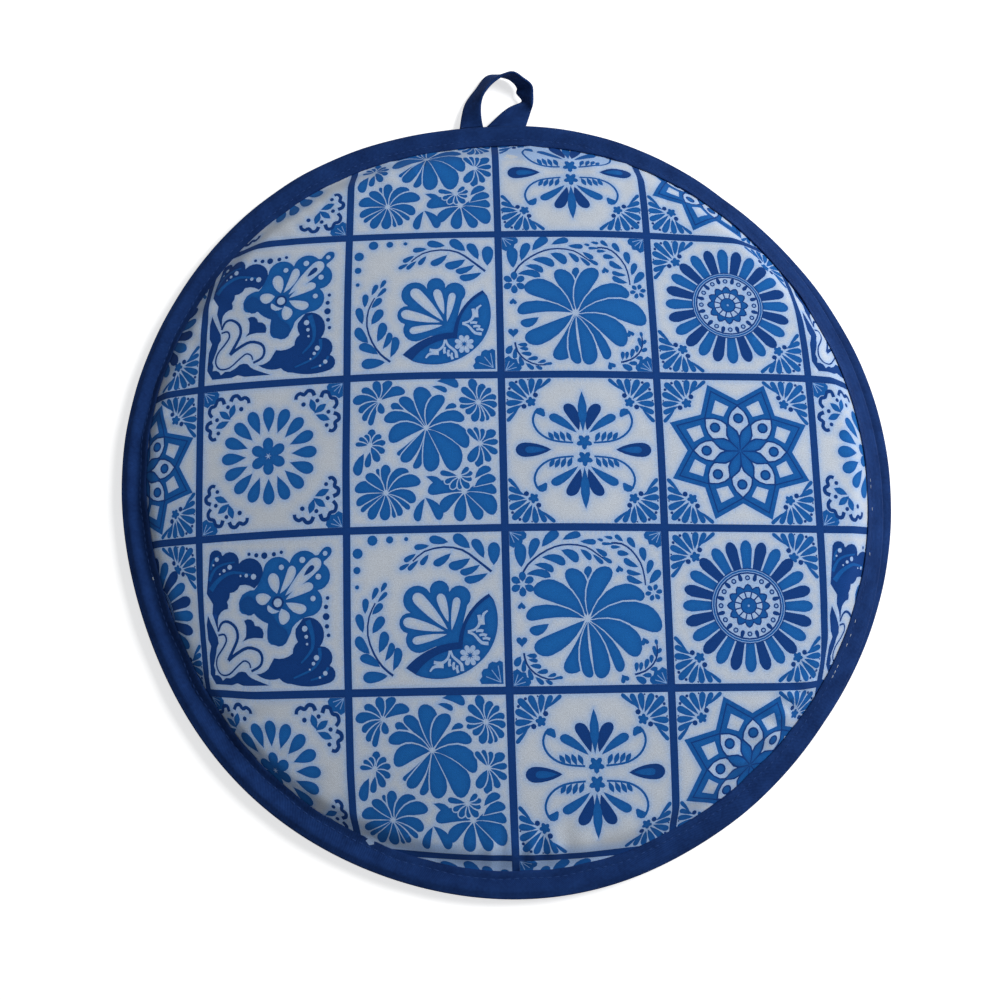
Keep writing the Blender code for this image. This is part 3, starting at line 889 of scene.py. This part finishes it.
def round_layer(name, lower, upper, place):
    """A round of cloth or batting between two surfaces."""
    angles = np.linspace(0, 2 * pi, ROUND_STEPS, endpoint=False)
    rings = len(LAYER_RADII)
    middle = np.zeros(1), np.zeros(1)
    grid = np.meshgrid(LAYER_RADII, angles, indexing="ij")
    vertices, faces, sides = [], [], []
    for surface in (lower, upper):
        first = len(vertices)
        for radius, angle in (middle, grid):
            placed = points_at(radius, angle, surface(radius, angle), place)
            vertices += placed.reshape(-1, 3).tolist()
        for i in range(ROUND_STEPS):
            j = (i + 1) % ROUND_STEPS
            rows = [(first, first + 1 + i, first + 1 + j)]
            for k in range(rings - 1):
                inner = first + 1 + k * ROUND_STEPS
                outer = inner + ROUND_STEPS
                rows.append((inner + i, outer + i, outer + j, inner + j))
            faces += rows if surface is upper else [row[::-1] for row in rows]
        sides.append(first + 1 + (rings - 1) * ROUND_STEPS)
    for i in range(ROUND_STEPS):
        j = (i + 1) % ROUND_STEPS
        faces.append((sides[0] + i, sides[0] + j, sides[1] + j, sides[1] + i))
    return made_of(name, vertices, faces)


def above(surface, *heights):
    """The surface that lies higher than another by these thicknesses and gaps."""
    return lambda radius, angle: surface(radius, angle) + sum(
        h(radius, angle) if callable(h) else h for h in heights)


def batting(name):
    finish = Finish(name, Roughness=0.95, Sheen_Weight=0.2, Specular_IOR_Level=0.15)
    place = finish.node("ShaderNodeTexCoord", output="Object")
    tuft = finish.noise(place, scale=260.0, detail=4.0)
    finish.feed("Base Color", finish.mixed(tuft, (0.80, 0.79, 0.74, 1), (0.88, 0.87, 0.83, 1)))
    finish.bump(strength=0.6, distance=0.0006, height=tuft)
    return finish.material


wadding_finish = batting("cotton_batting")
back_wadding_low = above(back_underside, COVER_THICKNESS, LAYER_GAP)
back_wadding_top = above(back_wadding_low, wadding_height)
back_wadding = round_layer("back_wadding_batting", back_wadding_low, back_wadding_top, hand_cut)
back_wadding.data.materials.append(wadding_finish)
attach(back_wadding, "root")
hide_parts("back_wadding")


# The back disc's lining. Plain undyed cotton on the pocket's side, where the tortillas lie. It is
# cut to the size of the back disc and its edge is sewn into the tape.
LINING_THICKNESS = 0.0004


def plain_cotton(name):
    finish = Finish(name, Roughness=0.9, Sheen_Weight=0.1, Specular_IOR_Level=0.2)
    place = finish.node("ShaderNodeTexCoord", output="Object")
    broad = finish.noise(place, scale=45.0, detail=3.0)
    fibre = finish.noise(place, scale=1400.0, detail=2.0)
    colour = finish.mixed(0.6 * broad + 0.4 * fibre, (0.58, 0.58, 0.56, 1), (0.70, 0.70, 0.69, 1))
    finish.feed("Base Color", colour)
    weave = thread_grid(finish, place, pitch=0.0008)
    finish.bump(strength=0.35, distance=0.0002, height=0.6 * weave + 0.4 * fibre)
    return finish.material


lining_finish = plain_cotton("plain_cotton_weave")
back_lining_low = above(back_wadding_top, LAYER_GAP)
back_lining_top = above(back_lining_low, LINING_THICKNESS)
back_lining = round_layer("back_lining_cloth", back_lining_low, back_lining_top, hand_cut)
back_lining.data.materials.append(lining_finish)
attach(back_lining, "root")
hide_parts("back_lining")


# The front disc's lining. The same plain cotton. It starts at the seam and domes over the pocket,
# and along the mouth its edge stands up from the back disc.
POCKET_HEIGHT = 0.012
DOME_FULLNESS = 0.7
MOUTH_FROM = radians(-52.5)
MOUTH_TO = radians(82.5)
MOUTH_LIFT = 0.0085
MOUTH_PULL_IN = 0.0045
MOUTH_EASE = radians(15)
MOUTH_DROOP = 0.0055
MOUTH_TUCK = 0.0022
DROOP_FROM = LIP_RADIUS - 0.003
EARLY_RISE = 0.0045
EARLY_RISE_AT = radians(195)
EARLY_RISE_SPAN = radians(48)
FOLD_HEIGHT = 0.00075
FOLD_FADE = 0.030
PUCKERS = 84
PUCKER_LOW = 0.00022
PUCKER_MORE = 0.00042
PUCKER_INSET = 0.007
PUCKER_SPAN = 0.008
PUCKER_FADE = 0.004
PUCKER_STRAY = 2.6
MOST_PUCKERED = radians(250)
SEAM_FLOOR = TAPE_STANDOFF + COVER_THICKNESS + 2 * LAYER_GAP + WADDING_PRESSED + LINING_THICKNESS
POCKET_FLOOR = COVER_THICKNESS + 2 * LAYER_GAP + WADDING_LOFT + LINING_THICKNESS


def mouth_swell(angle):
    share = np.mod(angle - MOUTH_FROM, 2 * pi) / (MOUTH_TO - MOUTH_FROM)
    return np.where(share <= 1, np.sin(pi * np.minimum(share, 1.0)), 0.0)


def seam_lift(angle):
    past = np.mod(angle - MOUTH_TO, 2 * pi)
    before = np.mod(MOUTH_FROM - angle, 2 * pi)
    in_mouth = np.mod(angle - MOUTH_FROM, 2 * pi) <= MOUTH_TO - MOUTH_FROM
    closed = 2 * TAPE_STANDOFF * (1 - eased(np.minimum(past, before) / MOUTH_EASE))
    return np.where(in_mouth, 2 * TAPE_STANDOFF + MOUTH_LIFT * mouth_swell(angle), closed)


def droop(radius, angle):
    """The front disc's edge curls down along the mouth, from 0 inside the tape to 1 at its edge."""
    return eased((radius - DROOP_FROM) / (CUT_RADIUS - DROOP_FROM)) * mouth_swell(angle)


def rise_from(angle):
    """Where the front disc starts to rise, which on the left is under the tape."""
    return FLAT_RADIUS + EARLY_RISE * swelling(angle, EARLY_RISE_AT, EARLY_RISE_SPAN)


def front_loft(radius, angle):
    return lofted(eased((rise_from(angle) - radius) / SHOULDER_WIDTH))


def pull_share(angle):
    return 1 - MOUTH_PULL_IN * mouth_swell(angle) ** 2 / OUTER_RADIUS


def drawn_in(radius, angle):
    """Where the front disc's edge lies, drawn in along the mouth because it is lifted."""
    return hand_cut(radius, angle) * pull_share(angle) - MOUTH_TUCK * droop(radius, angle)


def waves(seed, count, shortest, longest):
    """Long soft folds, from 1 to -1, in no one direction."""
    draw = np.random.default_rng(seed).uniform
    terms = [(draw(shortest, longest), draw(0, 2 * pi), draw(0, 2 * pi)) for _ in range(count)]

    def height(x, y):
        total = 0.0
        for length, heading, phase in terms:
            total = total + np.sin(2 * pi * (x * cos(heading) + y * sin(heading)) / length + phase)
        return total / sqrt(count)
    return height


folds = waves(seed=7, count=7, shortest=0.055, longest=0.12)
pucker_drift = waves(seed=11, count=5, shortest=0.05, longest=0.11)


def billow(radius, angle):
    """How far the lived-in front disc stands above or below a true dome."""
    x, y = radius * np.cos(angle), radius * np.sin(angle)
    inset = FLAT_RADIUS - radius
    soft = FOLD_HEIGHT * folds(x, y) * eased(inset / FOLD_FADE)
    below = 0.5 + 0.5 * np.cos(angle - MOST_PUCKERED)
    strength = PUCKER_LOW + PUCKER_MORE * below**2
    near_tape = np.exp(-((inset - PUCKER_INSET) / PUCKER_SPAN) ** 2) * eased(inset / PUCKER_FADE)
    puckers = np.cos(PUCKERS * angle + PUCKER_STRAY * pucker_drift(x, y))
    return soft + strength * near_tape * puckers * (0.6 + 0.4 * pucker_drift(y, -x))


def front_underside(radius, angle):
    edge = SEAM_FLOOR + LAYER_GAP + seam_lift(angle) - MOUTH_DROOP * droop(radius, angle)
    middle = POCKET_FLOOR + POCKET_HEIGHT
    inside = 1 - np.minimum(radius / rise_from(angle), 1.0) ** 2
    return edge + (middle - edge) * np.maximum(inside, 0.0) ** DOME_FULLNESS + billow(radius, angle)


front_lining_top = above(front_underside, LINING_THICKNESS)
front_lining = round_layer("front_lining_cloth", front_underside, front_lining_top, drawn_in)
front_lining.data.materials.append(lining_finish)
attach(front_lining, "root")
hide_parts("front_lining")


# The front disc's wadding. The same batting, pressed flat at the seam and back at its full loft a
# little inside the tape. It gives the front its soft crown.
front_wadding_low = above(front_lining_top, LAYER_GAP)
front_wadding_top = above(front_wadding_low, front_loft)
front_wadding = round_layer("front_wadding_batting", front_wadding_low, front_wadding_top, drawn_in)
front_wadding.data.materials.append(wadding_finish)
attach(front_wadding, "root")
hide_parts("front_wadding")


# The front disc's printed cover. The same printed canvas as the back, drawn over the wadding and
# puckered a little where the tape's stitching holds it.
front_inside = above(front_wadding_top, LAYER_GAP)
front_outside = above(front_inside, COVER_THICKNESS)
ARC_TURNS = 240
ARC_STEPS = 400
SLACK_FROM = 0.125


def arc_table():
    """How far out on the flat cloth each radius of the dome lies, for each direction."""
    angles = np.linspace(0, 2 * pi, ARC_TURNS + 1)
    radii = np.concatenate([np.linspace(0, FLAT_RADIUS - SHOULDER_WIDTH, 90),
                            np.linspace(FLAT_RADIUS - SHOULDER_WIDTH, CUT_RADIUS, 70)[1:]])
    grid_r, grid_a = np.meshgrid(radii, angles, indexing="ij")
    smooth = front_outside(grid_r, grid_a) - billow(grid_r, grid_a)
    steps = np.hypot(np.diff(smooth, axis=0), np.diff(grid_r * pull_share(grid_a), axis=0))
    lengths = np.concatenate([np.zeros((1, len(angles))), np.cumsum(steps, axis=0)])
    even = np.linspace(0, 1, ARC_STEPS)
    radius_at = np.array([np.interp(even * column[-1], column, radii) for column in lengths.T])
    return lengths[-1], radius_at


arc_ends, radius_at = arc_table()


def dome_radius(reach, angle):
    """The dome's radius at that reach on the flat cloth."""
    turn = np.mod(angle, 2 * pi) / (2 * pi) * ARC_TURNS
    low = np.minimum(turn.astype(int), ARC_TURNS - 1)
    share = turn - low
    end = arc_ends[low] * (1 - share) + arc_ends[low + 1] * share
    slack = eased((reach - SLACK_FROM) / (PATTERN_RADIUS - SLACK_FROM))
    full = PATTERN_RADIUS * slack + end * (1 - slack)
    along = np.minimum(reach / full, 1.0) * (ARC_STEPS - 1)
    step = np.minimum(along.astype(int), ARC_STEPS - 2)
    part = along - step
    before, after = (radius_at[row, step] * (1 - part) + radius_at[row, step + 1] * part
                     for row in (low, low + 1))
    return before * (1 - share) + after * share


def front_face(surface):
    def place(flat):
        reach, angle = flat_to_polar(flat)
        radius = dome_radius(reach, angle)
        return points_at(radius, angle, surface(radius, angle), drawn_in)
    return place


front_cover = printed_cover("front_cover_cloth", front_face(front_outside),
                            front_face(front_inside), 1)
front_cover.data.materials.append(cover_finish)
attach(front_cover, "root")
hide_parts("front_cover")


# The tapes along the mouth. Navy cotton twill, folded over the edge of each disc and topstitched,
# so that the pouch opens there.
NOSE = 0.0013
LIP_ROLL = 0.0002
TAPE_CROWN = 0.0005
CROWN_SHARE = 0.2
CROWN_SPAN = 0.18
TAPE_ENDS = 0.00001
STITCH_DIP = 0.00025
STITCH_SHARE = 0.68
STITCH_SPAN = 0.06
FACE_SHARES = (0.1, 0.2, 0.32, 0.45, 0.56, 0.63, 0.68, 0.74, 0.86, 0.97)
UNDER_TOP_FACE = (0.1460, 0.1475, 0.1490, 0.1505)
UNDER_LOW_FACE = (0.1500, 0.1475)
INNER_CORNERS = 10
LIP_BAND = 0.003
LIP_INSET = 0.001
NOSE_INSET = 0.003
NOSE_STEPS = 5
PATTERN_HEIGHT = 0.004
SMOOTH_BELOW = radians(50)
RIDGE_AT = radians(195)
RIDGE_SPAN = radians(65)
RIDGE_RISE = 0.0008
LIP_SWAY = 0.00025
FACE_SWAY = 0.00012
MOUTH_STEPS = 150
CLOSED_STEPS = 250
RIB_PITCH = 0.0008


def tape_section(bottom, top, crown_height):
    """Folded tape in section, from its lower lip round to its upper lip and back inside."""
    low, high = bottom(CUT_RADIUS) - TAPE_STANDOFF, top(CUT_RADIUS) + TAPE_STANDOFF
    rounding = min(NOSE, (high - low) / 2)
    centre = OUTER_RADIUS - rounding
    turns = np.radians(np.linspace(0, 90, NOSE_STEPS))
    outer = [(LIP_RADIUS + LIP_ROLL, bottom(LIP_RADIUS) - TAPE_STANDOFF + LIP_ROLL)]
    for radius in (LIP_RADIUS + LIP_INSET, UNDER_LOW_FACE[1], centre - NOSE_INSET):
        outer.append((radius, bottom(radius) - TAPE_STANDOFF))
    outer += [(centre + rounding * sin(t), low + rounding * (1 - cos(t))) for t in turns]
    outer += [(centre + rounding * cos(t), high - rounding * (1 - sin(t))) for t in turns]
    for share in FACE_SHARES:
        radius = centre - (TAPE_FACE - rounding) * share
        crown = crown_height * np.exp(-((share - CROWN_SHARE) / CROWN_SPAN) ** 2)
        dip = STITCH_DIP * np.exp(-((share - STITCH_SHARE) / STITCH_SPAN) ** 2)
        outer.append((radius, top(radius) + TAPE_STANDOFF + crown - dip))
    outer.append((LIP_RADIUS, top(LIP_RADIUS) + TAPE_STANDOFF - LIP_ROLL))
    fold = OUTER_RADIUS - TAPE_THICKNESS
    inner = [(r, top(r) + LAYER_GAP) for r in (LIP_RADIUS, *UNDER_TOP_FACE, fold)]
    inner += [(r, bottom(r) - LAYER_GAP) for r in (fold, *UNDER_LOW_FACE, LIP_RADIUS)]
    return outer + inner


tape_drift = waves(seed=23, count=6, shortest=0.018, longest=0.05)


def sway_at(angle):
    """How far the hand-guided tape strays there, from 1 to -1."""
    return float(tape_drift(OUTER_RADIUS * cos(angle), OUTER_RADIUS * sin(angle)))


def lofted_faces(sections, corners, first=0):
    """Faces lofted through closed sections with that many corners, capped at both ends."""
    faces = []
    for a in range(first, first + (sections - 1) * corners, corners):
        for i in range(corners):
            j = (i + 1) % corners
            faces.append((a + i, a + j, a + corners + j, a + corners + i))
    last = first + (sections - 1) * corners
    faces.append(tuple(range(first + corners - 1, first - 1, -1)))
    faces.append(tuple(range(last, last + corners)))
    return faces


def folded_tape(name, bottom, top, place, angles):
    """Tape folded over an edge from its bottom to its top, along these angles."""
    vertices = []
    for angle in angles:
        crown_height = TAPE_CROWN + RIDGE_RISE * swelling(angle, RIDGE_AT, RIDGE_SPAN)
        section = tape_section(lambda r: float(bottom(r, angle)), lambda r: float(top(r, angle)),
                               crown_height)
        sway = sway_at(angle)
        for i, (radius, height) in enumerate(section):
            if i < len(section) - INNER_CORNERS and height > top(CUT_RADIUS, angle):
                height += FACE_SWAY * sway
                if radius < LIP_RADIUS + LIP_BAND:
                    radius += LIP_SWAY * sway
            vertices.append(points_at(radius, angle, height, place).tolist())
    piece = made_of(name, vertices, lofted_faces(len(angles), len(section)))
    piece.data.set_sharp_from_angle(angle=SMOOTH_BELOW)
    level = tape_section(lambda r: 0.0, lambda r: PATTERN_HEIGHT, TAPE_CROWN)
    widths = [0.0]
    for (r0, h0), (r1, h1) in zip(level, level[1:]):
        widths.append(widths[-1] + hypot(r1 - r0, h1 - h0))
    places = [(angle * OUTER_RADIUS, width, 0.0) for angle in angles for width in widths]
    give(piece, "tape", "POINT", places)
    return piece


def navy_twill(name):
    """Dyed tape with a fine diagonal rib, faded a little in patches."""
    finish = Finish(name, Roughness=0.88, Sheen_Weight=0.08, Sheen_Roughness=0.4,
                    Specular_IOR_Level=0.14, Sheen_Tint=(0.20, 0.42, 1.0, 1))
    place = finish.attribute("tape", "Vector")
    along = finish.node("ShaderNodeSeparateXYZ", {}, {0: place}, 0)
    across = finish.node("ShaderNodeSeparateXYZ", {}, {0: place}, 1)
    rib = (along + across).reckoned("SINE", (along + across) * (2 * pi / RIB_PITCH)) * 0.5 + 0.5
    fibre = finish.noise(place, scale=900.0, detail=3.0)
    patch = finish.noise(place, scale=110.0, detail=4.0)
    faded = 0.15 * rib + 0.9 * fibre + 1.3 * patch - 0.675
    colour = finish.mixed(faded, (0.003, 0.018, 0.090, 1), (0.013, 0.052, 0.212, 1))
    finish.feed("Base Color", colour)
    finish.bump(strength=0.4, distance=0.00025, height=0.6 * rib + 0.4 * fibre)
    return finish.material


tape_finish = navy_twill("navy_cotton_tape")
trim = TAPE_ENDS / OUTER_RADIUS
mouth_angles = np.linspace(MOUTH_FROM + trim, MOUTH_TO - trim, MOUTH_STEPS)
front_mouth_tape = folded_tape("front_mouth_tape", front_underside, front_outside, drawn_in,
                               mouth_angles)
back_mouth_tape = folded_tape("back_mouth_tape", back_underside, back_lining_top, hand_cut,
                              mouth_angles)
for tape, node in ((front_mouth_tape, "front_mouth_binding"),
                   (back_mouth_tape, "back_mouth_binding")):
    tape.data.materials.append(tape_finish)
    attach(tape, "root")
    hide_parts(node)


# The edge tape. The same navy twill, folded over both discs together round the left, the top and
# the bottom.
closed_angles = np.linspace(MOUTH_TO + trim, MOUTH_FROM + 2 * pi - trim, CLOSED_STEPS)
edge_tape = folded_tape("edge_tape", back_underside, front_outside, drawn_in, closed_angles)
edge_tape.data.materials.append(tape_finish)
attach(edge_tape, "root")
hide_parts("edge_binding")


# The topstitching. Navy polyester thread that runs through each tape near its upper lip. At a few
# stitches on the right the white thread from underneath shows.
THREAD_RADIUS = 0.0002
STITCH_LENGTH = 0.0023
STITCH_PITCH = 0.0031
STITCH_FORM = (  # place along the stitch, girth and rise, in thread radii
    (0, 0.3, -1.3), (0.12, 0.9, -0.2), (0.5, 1.0, 0.35), (0.88, 0.9, -0.2), (1, 0.3, -1.3))
THREAD_SIDES = 6
WHITE_LENGTH = 0.0016
WHITE_ABOVE = 0.0001
WHITE_STITCHES = (0.3, -0.7, -4.3, -11.4, -22.1, -24.4, -26.0, -29.6, -30.5, -31.3, 195.6)


def stitch_row(name, top, place, middles, length, finish):
    """A row of stitches on a tape, each dipping into it at both ends."""
    row = OUTER_RADIUS - NOSE - (TAPE_FACE - NOSE) * STITCH_SHARE
    vertices, faces = [], []
    for middle in middles:
        faces += lofted_faces(len(STITCH_FORM), THREAD_SIDES, len(vertices))
        for t, girth, rise in STITCH_FORM:
            angle = middle + (t - 0.5) * length / row
            sway = sway_at(angle)
            level = float(top(row, angle)) + TAPE_STANDOFF - STITCH_DIP
            level += FACE_SWAY * sway + THREAD_RADIUS * rise
            for around in [2 * pi / THREAD_SIDES * i for i in range(THREAD_SIDES)]:
                radius = row + LIP_SWAY * sway + girth * THREAD_RADIUS * cos(around)
                height = level + girth * THREAD_RADIUS * sin(around)
                vertices.append(points_at(radius, angle, height, place).tolist())
    piece = made_of(name, vertices, faces)
    piece.data.materials.append(finish.material)
    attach(piece, "root")
    return piece


def along_tape(start, end):
    count = int((end - start) * OUTER_RADIUS / STITCH_PITCH)
    return np.linspace(start, end, count, endpoint=False) + (end - start) / count / 2


navy_thread = Finish("navy_thread", Base_Color=(0.012, 0.050, 0.200, 1), Roughness=0.7,
                     Specular_IOR_Level=0.25)
white_thread = Finish("white_thread", Base_Color=(0.45, 0.52, 0.62, 1), Roughness=0.7,
                      Specular_IOR_Level=0.25)
for name, top, place, middles in (
        ("front_mouth_stitches", front_outside, drawn_in, along_tape(MOUTH_FROM, MOUTH_TO)),
        ("back_mouth_stitches", back_lining_top, hand_cut, along_tape(MOUTH_FROM, MOUTH_TO)),
        ("edge_stitches", front_outside, drawn_in, along_tape(MOUTH_TO, MOUTH_FROM + 2 * pi))):
    stitch_row(name, top, place, middles, STITCH_LENGTH, navy_thread)
white_stitches = stitch_row("white_under_thread", above(front_outside, WHITE_ABOVE), drawn_in,
                            np.radians(WHITE_STITCHES), WHITE_LENGTH, white_thread)


# The hanging loop. Narrow navy tape, folded lengthwise and pressed, with both feet sewn into the
# seam at the top. It leans over and turns on its right side.
LOOP_TAPE_WIDTH = 0.0094
LOOP_TAPE_THICKNESS = 0.0012
LOOP_CENTRE = -0.0061
LOOP_REACH = 0.0250
LOOP_HALF_SPAN = 0.0139
LOOP_FOOT = 0.1533
LOOP_STEPS = 8
LOOP_PATTERN_DEPTH = 0.001


def loop_edges():
    """The tape's low and high edge, from its left foot over the top to its right foot."""
    front_edge = SEAM_FLOOR + LAYER_GAP + float(seam_lift(pi / 2))
    seam_middle = (TAPE_STANDOFF + front_edge + SEAM_FLOOR) / 2
    foot = None
    stations = (  # across, out, height of the low edge, heading and slope in degrees, widening
        (-1.0, foot, seam_middle, 0, 0, 1.05),
        (-0.95, 0.16, seam_middle - 0.0011, -11, 25, 1.0),
        (-0.83, 0.43, 0.0016, -23, 40, 1.0),
        (-0.54, 0.68, 0.0014, -48, 49, 1.0),
        (-0.16, 0.95, 0.0014, -60, 45, 1.0),
        (0.39, 0.92, 0.0014, -45, 70, 1.0),
        (0.63, 0.83, 0.0016, -32, 59, 1.0),
        (0.74, 0.72, 0.0018, -21, 47, 1.0),
        (0.72, 0.62, 0.0020, -26, 36, 1.0),
        (0.88, 0.47, 0.0020, -46, 43, 0.9),
        (0.40, 0.28, seam_middle + 0.0004, -14, 2, 1.1),
        (-0.19, foot, seam_middle, 0, 0, 1.75),
    )
    lows, highs = [], []
    for across, out, height, heading, slope, widened in stations:
        low = [LOOP_CENTRE + across * LOOP_HALF_SPAN, 0.0, height]
        reach = LOOP_TAPE_WIDTH * widened
        level = reach * cos(radians(slope))
        high = [low[0] + level * cos(radians(heading)), level * sin(radians(heading)),
                height + reach * sin(radians(slope))]
        for point in (low, high):
            seam = sqrt(LOOP_FOOT**2 - point[0] ** 2)
            point[1] += seam if out is foot else OUTER_RADIUS + out * LOOP_REACH
        lows.append(tuple(low))
        highs.append(tuple(high))
    return smooth_line(lows, LOOP_STEPS), smooth_line(highs, LOOP_STEPS)


def loop_mesh(name):
    lows, highs = (np.array(edge) for edge in loop_edges())
    along = np.gradient((lows + highs) / 2, axis=0)
    along[0], along[-1] = (0, 1, 0), (0, -1, 0)
    faces_out = np.cross(highs - lows, along)
    faces_out /= np.linalg.norm(faces_out, axis=1)[:, None]
    profile = [(0.0, 0.0), (0.02, 0.32), (0.07, 0.44), (0.2, 0.47), (0.4, 0.42), (0.5, 0.36),
               (0.6, 0.42), (0.8, 0.47), (0.93, 0.44), (0.98, 0.32), (1.0, 0.0)]
    section = profile + [(t, -h) for t, h in profile[-2:0:-1]]
    vertices, places = [], []
    steps = np.linalg.norm(np.diff((lows + highs) / 2, axis=0), axis=1)
    distance = np.concatenate([[0], np.cumsum(steps)])
    for k in range(len(lows)):
        for t, half in section:
            point = lows[k] + (highs[k] - lows[k]) * t + faces_out[k] * half * LOOP_TAPE_THICKNESS
            vertices.append(point.tolist())
            places.append((distance[k], t * LOOP_TAPE_WIDTH, half * LOOP_PATTERN_DEPTH))
    piece = made_of(name, vertices, lofted_faces(len(lows), len(section)))
    give(piece, "tape", "POINT", places)
    return piece, distance[-1]


loop_tape, loop_length = loop_mesh("hanging_loop_tape")
loop_tape.data.materials.append(tape_finish)
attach(loop_tape, "root")
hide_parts("hanging_loop")


# The table and backdrop, the soft studio light and the camera above the pouch. The one lamp stands
# high on the right, so that the pouch throws its short soft shadow to the left.
table_top = made_of("table_top", [(-3, -3, 0), (3, -3, 0), (3, 3, 0), (-3, 3, 0)], [(0, 1, 2, 3)])
floor_finish = Finish("white_table", Base_Color=(0.80, 0.80, 0.80, 1), Roughness=0.9,
                      Specular_IOR_Level=0.1, Emission_Strength=0.65)
rays = [floor_finish.node("ShaderNodeLightPath", output=kind)
        for kind in ("Is Camera Ray", "Is Glossy Ray", "Is Transmission Ray")]
seen = rays[0].reckoned("MAXIMUM", rays[0], rays[1].reckoned("MAXIMUM", rays[1], rays[2]))
floor_finish.feed("Emission Color", floor_finish.mixed(seen, (0, 0, 0, 1), (1, 1, 1, 1)))
table_top.data.materials.append(floor_finish.material)

world = bpy.data.worlds.new("studio")
bpy.context.scene.world = world
world.use_nodes = True
background = world.node_tree.nodes["Background"]
background.inputs["Color"].default_value = (0.93, 0.96, 1.0, 1)
background.inputs["Strength"].default_value = 0.18

lamp = bpy.data.lights.new("key_light", "AREA")
lamp.shape = "SQUARE"
lamp.size = 0.36
lamp.energy = 7.95
lamp_holder = bpy.data.objects.new("key_light", lamp)
lamp_holder.location = (0.64, 0.28, 0.70)
lamp_holder.rotation_euler = (-lamp_holder.location).to_track_quat("-Z", "Y").to_euler()
bpy.context.scene.collection.objects.link(lamp_holder)

camera = bpy.data.cameras.new("photo_camera")
camera.sensor_width = 36.0
camera.lens = 42.264
camera_holder = bpy.data.objects.new("photo_camera", camera)
turn = Matrix.Rotation(radians(-1.60), 4, "Y") @ Matrix.Rotation(radians(10.54), 4, "X")
camera_holder.matrix_world = Matrix.Translation((-0.0158, -0.0908, 0.4593)) @ turn
bpy.context.scene.collection.objects.link(camera_holder)
bpy.context.scene.camera = camera_holder
bpy.context.scene.view_settings.view_transform = "Standard"
